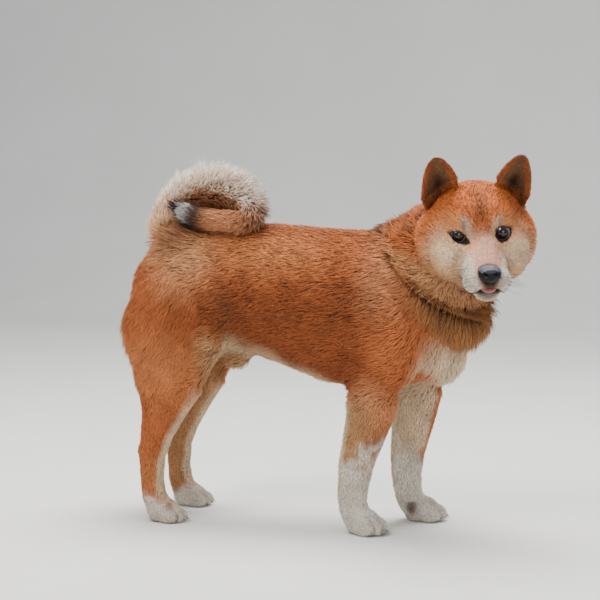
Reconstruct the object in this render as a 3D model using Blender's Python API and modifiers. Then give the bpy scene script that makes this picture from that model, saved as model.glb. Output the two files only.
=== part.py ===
"""A shiba inu standing still at life size, with its head turned to its right.

Metres, +Z up. The nose end of the trunk points to +X and the dog's left side to +Y. Each solid is
one closed body, and neighbours keep a thin gap so that they meet without touching.
"""
import math

import bmesh
import bpy
import numpy as np
from mathutils import Matrix, Vector

GAP = 0.0003
RING_SIDES = 24

# How finely the overlapping forms are fused, and about how many triangles each keeps.
BODY_VOXEL = 0.0032
HEAD_VOXEL = 0.0016
PAW_VOXEL = 0.0016
EAR_VOXEL = 0.0012
BODY_TRIANGLES = 3400
HEAD_TRIANGLES = 3300
PAW_TRIANGLES = 260
EAR_TRIANGLES = 320

# Trunk sections from rump to chest: place along X, top, bottom, half width.
TRUNK = (
    (-0.234, 0.318, 0.252, 0.026),
    (-0.226, 0.346, 0.228, 0.046),
    (-0.203, 0.372, 0.212, 0.064),
    (-0.162, 0.392, 0.208, 0.074),
    (-0.115, 0.401, 0.214, 0.076),
    (-0.070, 0.402, 0.222, 0.072),
    (-0.020, 0.401, 0.206, 0.072),
    (0.035, 0.397, 0.186, 0.077),
    (0.090, 0.394, 0.181, 0.080),
    (0.140, 0.392, 0.185, 0.078),
    (0.180, 0.375, 0.193, 0.070),
    (0.208, 0.345, 0.206, 0.054),
    (0.226, 0.305, 0.228, 0.034),
)

# Neck sections from the withers to the skull: centre, half height, half width.
NECK = (
    ((0.110, 0.000, 0.290), 0.098, 0.074),
    ((0.160, 0.000, 0.316), 0.094, 0.075),
    ((0.196, -0.007, 0.347), 0.082, 0.071),
    ((0.220, -0.020, 0.376), 0.071, 0.067),
    ((0.243, -0.038, 0.396), 0.060, 0.060),
)

# Limb sections from the top down: place X, Y, Z, half length, half width. Left limbs are on +Y.
FORELEG_RIGHT = (
    (0.128, -0.050, 0.245, 0.046, 0.028),
    (0.121, -0.053, 0.200, 0.037, 0.028),
    (0.113, -0.055, 0.150, 0.033, 0.026),
    (0.103, -0.056, 0.115, 0.028, 0.022),
    (0.0955, -0.056, 0.090, 0.025, 0.0205),
    (0.0915, -0.056, 0.062, 0.0215, 0.019),
    (0.0900, -0.057, 0.046, 0.0205, 0.0185),
    (0.0930, -0.058, 0.030, 0.0200, 0.0185),
    (0.0980, -0.059, 0.014, 0.0190, 0.0180),
)
FORELEG_LEFT = (
    (0.158, 0.048, 0.245, 0.044, 0.028),
    (0.153, 0.050, 0.200, 0.037, 0.028),
    (0.1455, 0.051, 0.150, 0.032, 0.026),
    (0.1400, 0.052, 0.118, 0.028, 0.022),
    (0.1350, 0.052, 0.090, 0.0245, 0.0205),
    (0.1340, 0.052, 0.062, 0.0215, 0.019),
    (0.1345, 0.052, 0.046, 0.0205, 0.0185),
    (0.1390, 0.052, 0.030, 0.0200, 0.0185),
    (0.1450, 0.052, 0.014, 0.0190, 0.0180),
)
HINDLEG_RIGHT = (
    (-0.152, -0.048, 0.262, 0.068, 0.034),
    (-0.155, -0.052, 0.235, 0.069, 0.033),
    (-0.161, -0.055, 0.200, 0.056, 0.029),
    (-0.165, -0.057, 0.170, 0.043, 0.025),
    (-0.171, -0.058, 0.147, 0.033, 0.022),
    (-0.182, -0.060, 0.114, 0.0235, 0.0180),
    (-0.1885, -0.060, 0.0885, 0.0195, 0.0160),
    (-0.1890, -0.060, 0.060, 0.0170, 0.0155),
    (-0.1870, -0.060, 0.040, 0.0175, 0.0160),
    (-0.1820, -0.060, 0.026, 0.0185, 0.0170),
    (-0.1770, -0.060, 0.013, 0.0185, 0.0170),
)
HIND_STEP_BACK = 0.008

# Paws: place X, Y and the way they point, in degrees from +X.
PAW_SPOTS = {
    "forepaw_right": (0.1040, -0.0600, -22.0),
    "forepaw_left": (0.1530, 0.0520, 8.0),
    "hindpaw_right": (-0.1740, -0.0600, -6.0),
    "hindpaw_left": (-0.1820, 0.0600, 8.0),
}
FOREPAW_SIZE = 1.0
HINDPAW_SIZE = 0.93
PAW_TOP = 0.034

# Seams between the lengths of a limb: the height of each cut.
ELBOW_LEVEL = 0.177
STIFLE_LEVEL = 0.184
HOCK_LEVEL = 0.112

# Neck seams: a point on the plane and the way the head end lies.
NECK_BASE = ((0.165, 0.0, 0.322), (0.74, 0.0, 0.67))
NECK_TOP = ((0.200, -0.005, 0.350), (0.60, -0.40, 0.69))
TAIL_ROOT = ((-0.1900, 0.0, 0.3800), (-0.44, 0.0, 0.90))

# Head: the point midway between the eyes, and how far the face is turned, dipped and tipped.
HEAD_PLACE = (0.2695, -0.1000, 0.3940)
HEAD_TURN = -68.0
HEAD_DIP = 14.0
HEAD_TIP = 1.8
EYE_SIDE = 0.0262
EYE_BACK = -0.0035
EYE_RADIUS = 0.0112
EYE_GAZE_OUT = 14.0
LID_RADIUS = 0.0136
LID_WIDTH = 0.0112
LID_HEIGHT = 0.0074
LID_SLANT = 18.0

# Muzzle sections from the stop to its front: place x, half width, top, bottom.
MUZZLE = (
    (-0.034, 0.0520, 0.0160, -0.0680),
    (-0.012, 0.0440, 0.0130, -0.0665),
    (0.010, 0.0365, 0.0035, -0.0650),
    (0.028, 0.0305, -0.0055, -0.0625),
    (0.045, 0.0265, -0.0130, -0.0610),
    (0.060, 0.0222, -0.0168, -0.0580),
    (0.070, 0.0168, -0.0195, -0.0540),
    (0.0745, 0.0110, -0.0240, -0.0500),
)
NOSE_SECTIONS = (
    (0.0600, 0.0110, -0.0195, -0.0350),
    (0.0680, 0.0140, -0.0168, -0.0375),
    (0.0760, 0.0142, -0.0170, -0.0382),
    (0.0810, 0.0118, -0.0195, -0.0365),
    (0.0835, 0.0060, -0.0235, -0.0325),
)

# Mouth, slightly open: its corner, its height at the front and how the lips hang beside the tongue.
MOUTH_CORNER = (0.020, -0.0450)
MOUTH_MIDDLE = 0.046
MOUTH_FRONT = 0.066
MOUTH_TOP = -0.0460
MOUTH_OPEN = 0.0058
LIP_LOBE_SIDE = 0.0195
LIP_LOBE_DROP = 0.0115
LIP_PARTING = 0.0010
TONGUE_HALF = 0.0086

# Ears: the middle of the base and the tip, then how far up, half width and depth of the cup.
EAR_BASE = (-0.046, 0.0405, 0.022)
EAR_TIP = (-0.026, 0.0530, 0.0920)
EAR_ROWS = (
    (0.00, 0.0278, 0.0170), (0.18, 0.0272, 0.0165), (0.36, 0.0252, 0.0145), (0.52, 0.0226, 0.0115),
    (0.67, 0.0194, 0.0085), (0.80, 0.0154, 0.0055), (0.90, 0.0112, 0.0030), (0.96, 0.0074, 0.0015),
    (1.00, 0.0030, 0.0005),
)
EAR_THICK = 0.0034
EAR_SEAM = ((-0.040, 0.0446, 0.0426), (0.0, 0.578, 0.816))

# Tail: the middle of its bone from the rump over the back and round to its end.
TAIL_PATH = (
    (-0.1950, 0.000, 0.345), (-0.1900, 0.000, 0.385), (-0.1720, -0.002, 0.416),
    (-0.1400, -0.006, 0.436), (-0.1000, -0.012, 0.437), (-0.0690, -0.022, 0.422),
    (-0.0650, -0.034, 0.409), (-0.0860, -0.043, 0.404), (-0.1150, -0.048, 0.405),
    (-0.1380, -0.049, 0.411), (-0.1500, -0.049, 0.416),
)


# The tail's coat along its length: place from rump to end, half heights of the core on the outer and
# inner side of the curl, how far locks reach on the outer and inner side, and their lean in degrees.
TAIL_COAT = (
    (0.00, 0.0160, 0.0130, 0.026, 0.022, 70.0),
    (0.12, 0.0180, 0.0125, 0.031, 0.024, 62.0),
    (0.26, 0.0200, 0.0160, 0.040, 0.030, 42.0),
    (0.42, 0.0215, 0.0175, 0.044, 0.031, 27.0),
    (0.54, 0.0205, 0.0170, 0.041, 0.030, 33.0),
    (0.66, 0.0145, 0.0120, 0.028, 0.022, 56.0),
    (0.76, 0.0110, 0.0105, 0.0170, 0.0165, 68.0),
    (1.00, 0.0095, 0.0095, 0.0155, 0.0155, 72.0),
)
TAIL_WIDTH_SHARE = 0.95
TAIL_CUTS = ((0.20, 42.0), (0.45, 24.0))
TURN_END = 0.645
RETURN_CLEARANCE = 0.0182
ROOM_TRIANGLES = 220
LOCK_SPACING = 0.0188
LOCK_SPACING_END = 0.0380
LOCK_WIDTH = 0.0240
LOCK_THICK = 0.0068
LOCK_SINK = 0.0060
LOCK_MOST = 0.048
LOCK_SEED = 7
CONE_FAR = 0.066
CONE_NEAR = 0.034
CUT_DEPTH = 0.040
CUT_REACH = 0.075


def clear_scene():
    """Take every object out, so that only this part is left."""
    for item in list(bpy.data.objects):
        bpy.data.objects.remove(item, do_unlink=True)


def new_object(name, mesh_maker):
    """An object whose mesh is what mesh_maker leaves in a bmesh."""
    mesh = bpy.data.meshes.new(name)
    work = bmesh.new()
    mesh_maker(work)
    bmesh.ops.recalc_face_normals(work, faces=work.faces)
    work.to_mesh(mesh)
    work.free()
    item = bpy.data.objects.new(name, mesh)
    bpy.context.scene.collection.objects.link(item)
    return item


def drop(items):
    """Remove objects that were only helpers."""
    for item in items:
        mesh = item.data
        bpy.data.objects.remove(item, do_unlink=True)
        bpy.data.meshes.remove(mesh)


def settle(item):
    """Apply an object's modifiers."""
    graph = bpy.context.evaluated_depsgraph_get()
    mesh = bpy.data.meshes.new_from_object(item.evaluated_get(graph))
    old = item.data
    item.modifiers.clear()
    item.data = mesh
    bpy.data.meshes.remove(old)
    mesh.name = item.name


def join(name, items):
    """One mesh holding copies of several, each still a shell of its own."""
    def fill(work):
        for piece in items:
            work.from_mesh(piece.data)
    joined = new_object(name, fill)
    drop(items)
    return joined


def loft(name, rings):
    """A closed form with faces between rings of points and a flat cap at each end."""
    def fill(work):
        rows = []
        for ring in rings:
            rows.append([work.verts.new(point) for point in ring])
        for low, high in zip(rows, rows[1:]):
            for k in range(len(low)):
                n = (k + 1) % len(low)
                work.faces.new((low[k], low[n], high[n], high[k]))
        work.faces.new(list(reversed(rows[0])))
        work.faces.new(rows[-1])
    return new_object(name, fill)


def oval(centre, side, up, half_side, half_up, half_down, sides=RING_SIDES):
    """Ring of points of an oval, with its lower half as deep as half_down."""
    ring = []
    for k in range(sides):
        turn = 2.0 * math.pi * k / sides
        rise = math.sin(turn)
        lift = half_up if rise > 0.0 else half_down
        ring.append(Vector(centre) + Vector(side) * (half_side * math.cos(turn)) + Vector(up) * (lift * rise))
    return ring


def ball(name, centre, radii, turn=None, segments=24, rings=16):
    """An oval ball."""
    def fill(work):
        shape = Matrix.Translation(centre) @ (turn or Matrix.Identity(4)) @ Matrix.Diagonal((*radii, 1.0))
        bmesh.ops.create_uvsphere(work, u_segments=segments, v_segments=rings, radius=1.0, matrix=shape)
    return new_object(name, fill)


def frame_along(direction, up=Vector((0.0, 0.0, 1.0))):
    """Matrix whose Z runs along a direction."""
    forward = Vector(direction).normalized()
    side = up.cross(forward)
    if side.length < 1e-4:
        side = Vector((1.0, 0.0, 0.0)).cross(forward)
    side.normalize()
    top = forward.cross(side)
    return Matrix((side, top, forward)).transposed().to_4x4()


def block(name, point, direction, reach, depth):
    """A box that starts at a point's plane and runs along a direction."""
    forward = Vector(direction).normalized()
    place = Matrix.Translation(Vector(point) + forward * (depth / 2.0)) @ frame_along(forward)
    def fill(work):
        bmesh.ops.create_cube(work, size=1.0, matrix=place @ Matrix.Diagonal((reach, reach, depth, 1.0)))
    return new_object(name, fill)


def boolean(item, other, operation, solver="EXACT"):
    """Apply one Boolean and remove the other object."""
    other.hide_render = True
    other.display_type = "WIRE"
    step = item.modifiers.new(operation.lower(), "BOOLEAN")
    step.operation = operation
    step.solver = solver
    step.object = other
    settle(item)
    drop([other])


def face_count(item):
    return sum(len(face.vertices) - 2 for face in item.data.polygons)


def fuse(name, items, voxel, smooth, triangles):
    """One closed skin round overlapping closed forms, smoothed and thinned to about some triangles."""
    body = join(name, items)
    skin = body.modifiers.new("skin", "REMESH")
    skin.mode = "VOXEL"
    skin.voxel_size = voxel
    soft = body.modifiers.new("soft", "SMOOTH")
    soft.factor = 0.5
    soft.iterations = smooth
    settle(body)
    thin = body.modifiers.new("thin", "DECIMATE")
    thin.ratio = min(1.0, triangles / face_count(body))
    settle(body)
    keep_largest(body)
    return body


def shells(item):
    """The closed surfaces of a mesh, as lists of face numbers, largest box first."""
    work = bmesh.new()
    work.from_mesh(item.data)
    work.faces.ensure_lookup_table()
    seen = set()
    groups = []
    for start in work.faces:
        if start.index in seen:
            continue
        group = []
        queue = [start]
        seen.add(start.index)
        while queue:
            face = queue.pop()
            group.append(face.index)
            for edge in face.edges:
                for near in edge.link_faces:
                    if near.index not in seen:
                        seen.add(near.index)
                        queue.append(near)
        groups.append(group)
    sizes = []
    for group in groups:
        points = [vert.co for number in group for vert in work.faces[number].verts]
        spans = [max(p[axis] for p in points) - min(p[axis] for p in points) for axis in range(3)]
        lows = Vector([min(p[axis] for p in points) for axis in range(3)])
        middle = lows + Vector(spans) / 2.0
        sizes.append((spans[0] * spans[1] * spans[2], middle))
    work.free()
    order = sorted(range(len(groups)), key=lambda k: -sizes[k][0])
    return [(groups[k], sizes[k][1]) for k in order]


def keep_faces(item, numbers):
    """Leave only some faces of a mesh."""
    wanted = set(numbers)
    work = bmesh.new()
    work.from_mesh(item.data)
    gone = [face for face in work.faces if face.index not in wanted]
    bmesh.ops.delete(work, geom=gone, context="FACES")
    work.to_mesh(item.data)
    work.free()


def grown_copy(item, by):
    """A copy whose surface stands out a little all round."""
    twin = copy_of(item, "grown")
    for vert in twin.data.vertices:
        vert.co += vert.normal * by
    return twin


def keep_largest(item):
    """Leave the largest closed surface of a mesh."""
    keep_faces(item, shells(item)[0][0])


def copy_of(item, name):
    twin = bpy.data.objects.new(name, item.data.copy())
    bpy.context.scene.collection.objects.link(twin)
    return twin


def split_by_seed(item, seeds):
    """Divide a cut mesh into nodes: each seed takes the nearest closed surface."""
    parts = shells(item)[:len(seeds)]
    nodes = {}
    free = list(parts)
    for name, seed in seeds.items():
        best = min(free, key=lambda part: (part[1] - Vector(seed)).length)
        free.remove(best)
        node = copy_of(item, name)
        keep_faces(node, best[0])
        nodes[name] = node
    drop([item])
    return nodes


def cut_away(item, point, direction, reach, depth):
    """Remove what lies beyond a plane, within a box."""
    boolean(item, block("beyond", point, direction, reach, depth), "DIFFERENCE")


def take_region(item, name, make_region):
    """Move what lies in a region into a node of its own, with the gap left between them."""
    node = copy_of(item, name)
    boolean(node, make_region(0.0), "INTERSECT")
    boolean(item, make_region(GAP), "DIFFERENCE")
    keep_largest(node)
    return node


def head_matrix():
    """Where the head's own frame stands: x to the nose, y to its left, z up."""
    turn = Matrix.Rotation(math.radians(HEAD_TURN), 4, "Z")
    dip = Matrix.Rotation(math.radians(HEAD_DIP), 4, "Y")
    tip = Matrix.Rotation(math.radians(HEAD_TIP), 4, "X")
    return Matrix.Translation(HEAD_PLACE) @ turn @ dip @ tip


def moved(item, matrix):
    """Transform the mesh itself."""
    item.data.transform(matrix)
    return item


def trunk_form():
    rings = []
    for place, top, bottom, half in TRUNK:
        middle = bottom + (top - bottom) * 0.54
        ring = oval((place, 0.0, middle), (0, 1, 0), (0, 0, 1), half, top - middle, middle - bottom)
        rings.append([Vector((p.x, p.y * (1.0 - 0.9 * max(0.0, middle - p.z)), p.z)) for p in ring])
    return loft("trunk", rings)


def neck_form():
    rings = []
    for k, (centre, high, wide) in enumerate(NECK):
        before = Vector(NECK[max(0, k - 1)][0])
        after = Vector(NECK[min(len(NECK) - 1, k + 1)][0])
        along = (after - before).normalized()
        side = Vector((0.0, 0.0, 1.0)).cross(along).normalized()
        up = along.cross(side)
        rings.append(oval(centre, side, up, wide, high, high))
    return loft("neck", rings)


def limb_form(sections):
    rings = []
    for x, y, z, length, width in sections:
        rings.append(oval((x, y, z), (1, 0, 0), (0, 1, 0), length, width, width))
    return loft("limb", rings)


def mirrored(sections, shift):
    return tuple((x - shift, -y, z, length, width) for x, y, z, length, width in sections)


def muscle_forms():
    """Shoulder and thigh masses, the chest's keel, the hocks and the belly tuft."""
    forms = []
    for side in (-1.0, 1.0):
        step = 0.012 if side > 0.0 else 0.0
        lean = Matrix.Rotation(math.radians(-16.0), 4, "Y")
        forms.append(ball("shoulder", (0.128 + step, side * 0.054, 0.268), (0.056, 0.033, 0.084), lean))
        forms.append(ball("elbow", (0.096 + step * 2.0, side * 0.060, 0.205), (0.018, 0.014, 0.022)))
        back = HIND_STEP_BACK if side > 0.0 else 0.0
        slope = Matrix.Rotation(math.radians(14.0), 4, "Y")
        forms.append(ball("thigh", (-0.165 - back, side * 0.050, 0.268), (0.066, 0.036, 0.082), slope))
        forms.append(ball("hock", (-0.2000 - back, side * 0.060, 0.096), (0.0105, 0.0095, 0.0150)))
    forms.append(ball("breast", (0.190, 0.0, 0.240), (0.040, 0.044, 0.050)))
    forms.append(ball("bib", (0.218, -0.008, 0.288), (0.042, 0.046, 0.046)))
    forms.append(ball("belly_tuft", (-0.082, -0.010, 0.216), (0.022, 0.012, 0.017)))
    return forms


def tail_curve(spot):
    """Point of a smooth curve through the tail's path, for spot counted in path points."""
    points = [Vector(p) for p in TAIL_PATH]
    spot = min(max(spot, 0.0), len(points) - 1.0001)
    k = int(spot)
    f = spot - k
    p0 = points[max(k - 1, 0)]
    p1 = points[k]
    p2 = points[k + 1]
    p3 = points[min(k + 2, len(points) - 1)]
    return 0.5 * (2.0 * p1 + (p2 - p0) * f + (2.0 * p0 - 5.0 * p1 + 4.0 * p2 - p3) * f * f
                  + (3.0 * p1 - p0 - 3.0 * p2 + p3) * f ** 3)


def tail_lengths():
    """Spots along the tail's curve and the length run at each."""
    spots = [k * 0.05 for k in range(20 * (len(TAIL_PATH) - 1) + 1)]
    runs = [0.0]
    for before, after in zip(spots, spots[1:]):
        runs.append(runs[-1] + (tail_curve(after) - tail_curve(before)).length)
    return spots, runs


TAIL_SPOTS, TAIL_RUNS = tail_lengths()


def tail_point(t):
    """Point of the tail's middle line, for t from 0 at the rump to 1 at its end, by length."""
    return tail_curve(float(np.interp(t * TAIL_RUNS[-1], TAIL_RUNS, TAIL_SPOTS)))


def tail_frame(t):
    """Middle, direction, outward side of the curl and sideways axis at a place on the tail."""
    here = tail_point(t)
    along = (tail_point(t + 0.01) - tail_point(t - 0.01)).normalized()
    hub = Vector((-0.118, -0.024, 0.404))
    out = here - hub
    out = (out - along * out.dot(along)).normalized()
    return here, along, out, along.cross(out)


def coat_at(t):
    """Core half heights, lock reaches and lean at a place on the tail."""
    places = [row[0] for row in TAIL_COAT]
    return [float(np.interp(t, places, [row[k] for row in TAIL_COAT])) for k in range(1, 6)]


def tail_core(first, last):
    """The tail under its locks from one place to another, fuller on the outer side of the curl."""
    rings = []
    steps = max(4, int((last - first) * 24.0))
    for k in range(steps + 1):
        t = first + (last - first) * k / steps
        here, along, out, side = tail_frame(t)
        outer, inner, far, near, lean = coat_at(t)
        end = math.sqrt(max(0.0, 1.0 - max(0.0, (t - 0.92) / 0.08) ** 2))
        round_off = max(end, 0.20)
        wide = (outer + inner) / 2.0 * TAIL_WIDTH_SHARE * round_off
        rings.append(oval(here, side, out, wide, outer * round_off, inner * round_off, 12))
    return loft("tail", rings)


def lock_form(root, out, along, length, width, lean, turn):
    """One flat, tapered lock with a ridge, which leans along the coat and bends over towards its tip."""
    across = out.cross(along).normalized()
    here = Vector(root)
    steps = ((0.0, 0.80), (0.36, 1.00), (0.74, 0.62), (1.0, 0.08))
    rings = []
    last = 0.0
    for share, wide in steps:
        angle = math.radians(lean * (0.55 + 0.75 * share))
        aim = out * math.cos(angle) + along * math.sin(angle)
        here = here + aim * ((share - last) * length)
        last = share
        flat = Matrix.Rotation(turn, 3, aim) @ across
        ridge = flat.cross(aim)
        half = width * wide / 2.0
        deep = LOCK_THICK * min(1.0, wide + 0.1)
        rings.append([here + flat * half - ridge * deep * 0.35, here + ridge * deep * 0.65,
                      here - flat * half - ridge * deep * 0.35])
    return loft("lock", rings)


def tail_locks(first, last, spacing, draw):
    """Locks set round a stretch of the tail in staggered rows, long outside the curl and short within.

    Where the coat stands up they are set on edge, wide along the tail, and where it lies down they lie flat.
    """
    locks = []
    rows = max(2, round((last - first) * TAIL_RUNS[-1] / spacing))
    for row in range(rows):
        angles = (0.0, 62.0, -62.0, 128.0, -128.0) if row % 2 == 0 else (31.0, -31.0, 94.0, -94.0, 178.0)
        for angle in angles:
            t = first + (last - first) * (row + 0.5 + draw.uniform(-0.25, 0.25)) / rows
            here, along, out, side = tail_frame(t)
            outer, inner, far, near, lean = coat_at(t)
            turn = math.radians(angle + draw.uniform(-9.0, 9.0))
            upward = (1.0 + math.cos(turn)) / 2.0
            normal = out * math.cos(turn) + side * math.sin(turn)
            core = inner + (outer - inner) * upward
            reach = (near + (far - near) * upward) * draw.uniform(0.88, 1.0 + 0.22 * upward)
            tilt = lean + (1.0 - upward) * (66.0 - lean) * 0.5
            rise = math.cos(math.radians(tilt * 0.95))
            length = min(LOCK_MOST, (reach - core + LOCK_SINK) / rise)
            width = LOCK_WIDTH * draw.uniform(0.85, 1.15) * (0.60 + 0.40 * upward)
            on_edge = math.pi / 2.0 * min(1.0, max(0.0, (58.0 - tilt) / 18.0))
            root = here + normal * (core - LOCK_SINK)
            locks.append(lock_form(root, normal, along, length, width,
                                   tilt + draw.uniform(-6.0, 6.0), on_edge + draw.uniform(-0.5, 0.5)))
    return locks


def return_room():
    """The room that the tail's last length keeps for itself beside the arch."""
    balls = []
    for k in range(10):
        spot = tail_point(TURN_END + 0.015 + (1.0 - TURN_END - 0.015) * k / 9.0)
        balls.append(ball("room", spot, (RETURN_CLEARANCE,) * 3, None, 16, 10))
    here, along, out, side = tail_frame(1.0)
    balls.append(ball("room", here + along * 0.012, (RETURN_CLEARANCE * 0.9,) * 3, None, 16, 10))
    return fuse("room", balls, BODY_VOXEL, 2, ROOM_TRIANGLES)


def union_all(item, pieces, solver):
    """Join closed pieces to one body by one Boolean union on their collection."""
    group = bpy.data.collections.new("pieces")
    bpy.context.scene.collection.children.link(group)
    for piece in pieces:
        bpy.context.scene.collection.objects.unlink(piece)
        group.objects.link(piece)
        piece.hide_render = True
        piece.display_type = "WIRE"
    step = item.modifiers.new("union", "BOOLEAN")
    step.operation = "UNION"
    step.solver = solver
    step.operand_type = "COLLECTION"
    step.collection = group
    settle(item)
    drop(pieces)
    bpy.data.collections.remove(group)
    keep_largest(item)


def cone_slit(t, lean):
    """A thin cone across the tail that leans as its locks do."""
    here, along, out, side = tail_frame(t)
    slope = math.tan(math.radians(lean))
    low = [here]
    for k in range(16):
        turn = 2.0 * math.pi * k / 16.0
        radius = CONE_NEAR + (CONE_FAR - CONE_NEAR) * (1.0 + math.cos(turn)) / 2.0
        spoke = out * math.cos(turn) + side * math.sin(turn)
        low.append(here + spoke * radius + along * (radius * slope))
    def fill(work):
        under = [work.verts.new(point) for point in low]
        over = [work.verts.new(point + along * (GAP * 1.3)) for point in low]
        for k in range(1, 17):
            n = k % 16 + 1
            work.faces.new((under[0], under[n], under[k]))
            work.faces.new((over[0], over[k], over[n]))
            work.faces.new((under[k], under[n], over[n], over[k]))
    return new_object("slit", fill)


def face_forms():
    """The closed forms that the head is fused from, in the head's own frame."""
    forms = []
    forms.append(ball("cranium", (-0.046, 0.0, 0.011), (0.055, 0.058, 0.0445)))
    forms.append(ball("forehead", (-0.027, 0.0, 0.012), (0.034, 0.047, 0.034)))
    forms.append(ball("throat", (-0.035, 0.0, -0.045), (0.052, 0.048, 0.035)))
    rings = []
    for place, half, top, bottom in MUZZLE:
        middle = bottom + (top - bottom) * 0.45
        rings.append(oval((place, 0.0, middle), (0, 1, 0), (0, 0, 1), half, top - middle, middle - bottom))
    forms.append(loft("muzzle", rings))
    forms.append(ball("chin", (0.046, 0.0, -0.0600), (0.020, 0.0160, 0.0098)))
    for side in (-1.0, 1.0):
        forms.append(ball("cheek", (-0.046, side * 0.040, -0.020), (0.046, 0.038, 0.047)))
        forms.append(ball("jowl", (-0.012, side * 0.036, -0.026), (0.036, 0.027, 0.036)))
        forms.append(ball("lip_pad", (0.050, side * 0.0158, -0.0425), (0.0225, 0.0150, 0.0160)))
        forms.append(ball("eye_fold", (EYE_BACK, side * EYE_SIDE, 0.0), (LID_RADIUS,) * 3))
        forms.append(ball("eyebrow", (-0.0125, side * 0.0250, 0.0120), (0.0170, 0.0180, 0.0150)))
    return forms


def ear_shell(side):
    """One cupped ear as a closed sheet of even thickness, in the head's own frame."""
    base = Vector(EAR_BASE)
    tip = Vector(EAR_TIP)
    columns = 9
    def fill(work):
        grid = []
        for v, half, cup in EAR_ROWS:
            middle = base.lerp(tip, v) + Vector((-0.004 * math.sin(math.pi * v), 0.0, 0.0))
            across = Vector((-0.22 + 0.12 * v, 0.90, -0.42 + 0.36 * v)).normalized()
            rear = Vector((-0.90, 0.25, 0.18)).normalized()
            line = []
            for c in range(columns):
                u = 2.0 * c / (columns - 1) - 1.0
                spot = middle + across * (u * half) + rear * (cup * (1.0 - u * u))
                line.append(work.verts.new((spot.x, side * spot.y, spot.z)))
            grid.append(line)
        for low, high in zip(grid, grid[1:]):
            for c in range(columns - 1):
                work.faces.new((low[c], low[c + 1], high[c + 1], high[c]))
    sheet = new_object("ear_sheet", fill)
    wall = sheet.modifiers.new("wall", "SOLIDIFY")
    wall.thickness = EAR_THICK
    wall.offset = 0.0
    settle(sheet)
    return sheet


def mirror_y(vector, side):
    return (vector[0], side * vector[1], vector[2])


def eye_matrix(side):
    """The eye's own frame in the head's: x out along the gaze."""
    gaze = Matrix.Rotation(math.radians(side * EYE_GAZE_OUT), 4, "Z")
    return Matrix.Translation((EYE_BACK, side * EYE_SIDE, 0.0)) @ gaze


def almond_cutter(side):
    """Prism with the outline of the opening between the lids, higher at its outer corner."""
    steps = 7
    outline = []
    for k in range(steps):
        s = -1.0 + 2.0 * k / (steps - 1)
        outline.append((s * LID_WIDTH, LID_HEIGHT * (1.0 - s * s) ** 0.75))
    for k in range(1, steps - 1):
        s = 1.0 - 2.0 * k / (steps - 1)
        outline.append((s * LID_WIDTH, -LID_HEIGHT * 0.86 * (1.0 - s * s) ** 0.75))
    slant = Matrix.Rotation(math.radians(side * LID_SLANT), 4, "X")
    rings = [[slant @ Vector((depth, a, b)) for a, b in outline] for depth in (0.0035, 0.030)]
    return moved(loft("almond", rings), eye_matrix(side))


def nose_form(grow):
    rings = []
    for k, (place, half, top, bottom) in enumerate(NOSE_SECTIONS):
        middle = bottom + (top - bottom) * 0.62
        shift = -grow if k == 0 else 0.0
        rings.append(oval((place + shift, 0.0, middle), (0, 1, 0), (0, 0, 1), half + grow,
                          top - middle + grow, middle - bottom + grow, 16))
    return loft("nose", rings)


def mouth_lines(y):
    """Upper and lower edge heights of the open mouth at its front, for a distance from the middle."""
    past = (abs(y) - TONGUE_HALF - 0.0010) / (LIP_LOBE_SIDE - TONGUE_HALF)
    lobe = math.sin(min(1.0, max(0.0, past)) * math.pi / 2.0) ** 2
    upper = MOUTH_TOP - LIP_LOBE_DROP * lobe
    open_by = MOUTH_OPEN * (1.0 - lobe) + LIP_PARTING * lobe
    return upper, upper - open_by


def mouth_cutter():
    """A wedge open to the front that follows the lips and closes at the corner of the mouth."""
    steps = (0.0, 0.0098, 0.0130, 0.0165, 0.0205, 0.0320, 0.0480)
    corner_x, corner_z = MOUTH_CORNER
    rings = []
    for y in [-step for step in reversed(steps[1:])] + list(steps):
        upper, lower = mouth_lines(y)
        sag = 0.0035 if abs(y) > 0.012 else 0.0010
        mid_up = (upper + corner_z) / 2.0 - sag
        mid_low = mid_up - (upper - lower) * 0.4 - GAP
        ring = [(corner_x, y, corner_z), (MOUTH_MIDDLE, y, mid_up), (MOUTH_FRONT, y, upper),
                (0.110, y, upper), (0.110, y, lower), (MOUTH_FRONT, y, lower),
                (MOUTH_MIDDLE, y, mid_low), (corner_x, y, corner_z - 2.0 * GAP)]
        rings.append([Vector(p) for p in ring])
    return loft("mouth", rings)


def jaw_slab():
    """Thin cut from the corner of the mouth down and back, which frees the lower jaw."""
    corner_x, corner_z = MOUTH_CORNER
    start = Vector((corner_x + 0.0008, 0.0, corner_z - 0.0003))
    down = Vector((-0.012, 0.0, -0.060))
    across = Vector((0.0, 0.05, 0.0))
    thick = Vector((GAP, 0.0, 0.0))
    rings = []
    for point in (start, start + down):
        rings.append([point - across - thick, point + across - thick, point + across, point - across])
    return loft("jaw_slab", rings)


def tongue_form():
    """A flat tongue that lies on the lower jaw and droops a little over its front."""
    back, front = 0.0480, 0.0780
    upper, lower = mouth_lines(0.0)
    back_floor = (upper + MOUTH_CORNER[1]) / 2.0 - 0.0010 - MOUTH_OPEN * 0.4 - GAP
    rings = []
    for k in range(9):
        s = k / 8.0
        x = back + (front - back) * s
        rise = min(1.0, (x - MOUTH_MIDDLE) / (MOUTH_FRONT - MOUTH_MIDDLE))
        floor = back_floor + (lower - back_floor) * rise + GAP * 1.6
        droop = max(0.0, x - 0.0740) * 0.60
        thick = 0.0014 + 0.0020 * rise
        end = math.sqrt(max(0.02, 1.0 - max(0.0, (s - 0.62) / 0.38) ** 2))
        middle = floor - droop + thick / 2.0
        half = thick / 2.0
        rings.append(oval((x, 0.0, middle), (0, 1, 0), (0, 0, 1), TONGUE_HALF * end, half, half, 10))
    return loft("tongue", rings)


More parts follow.
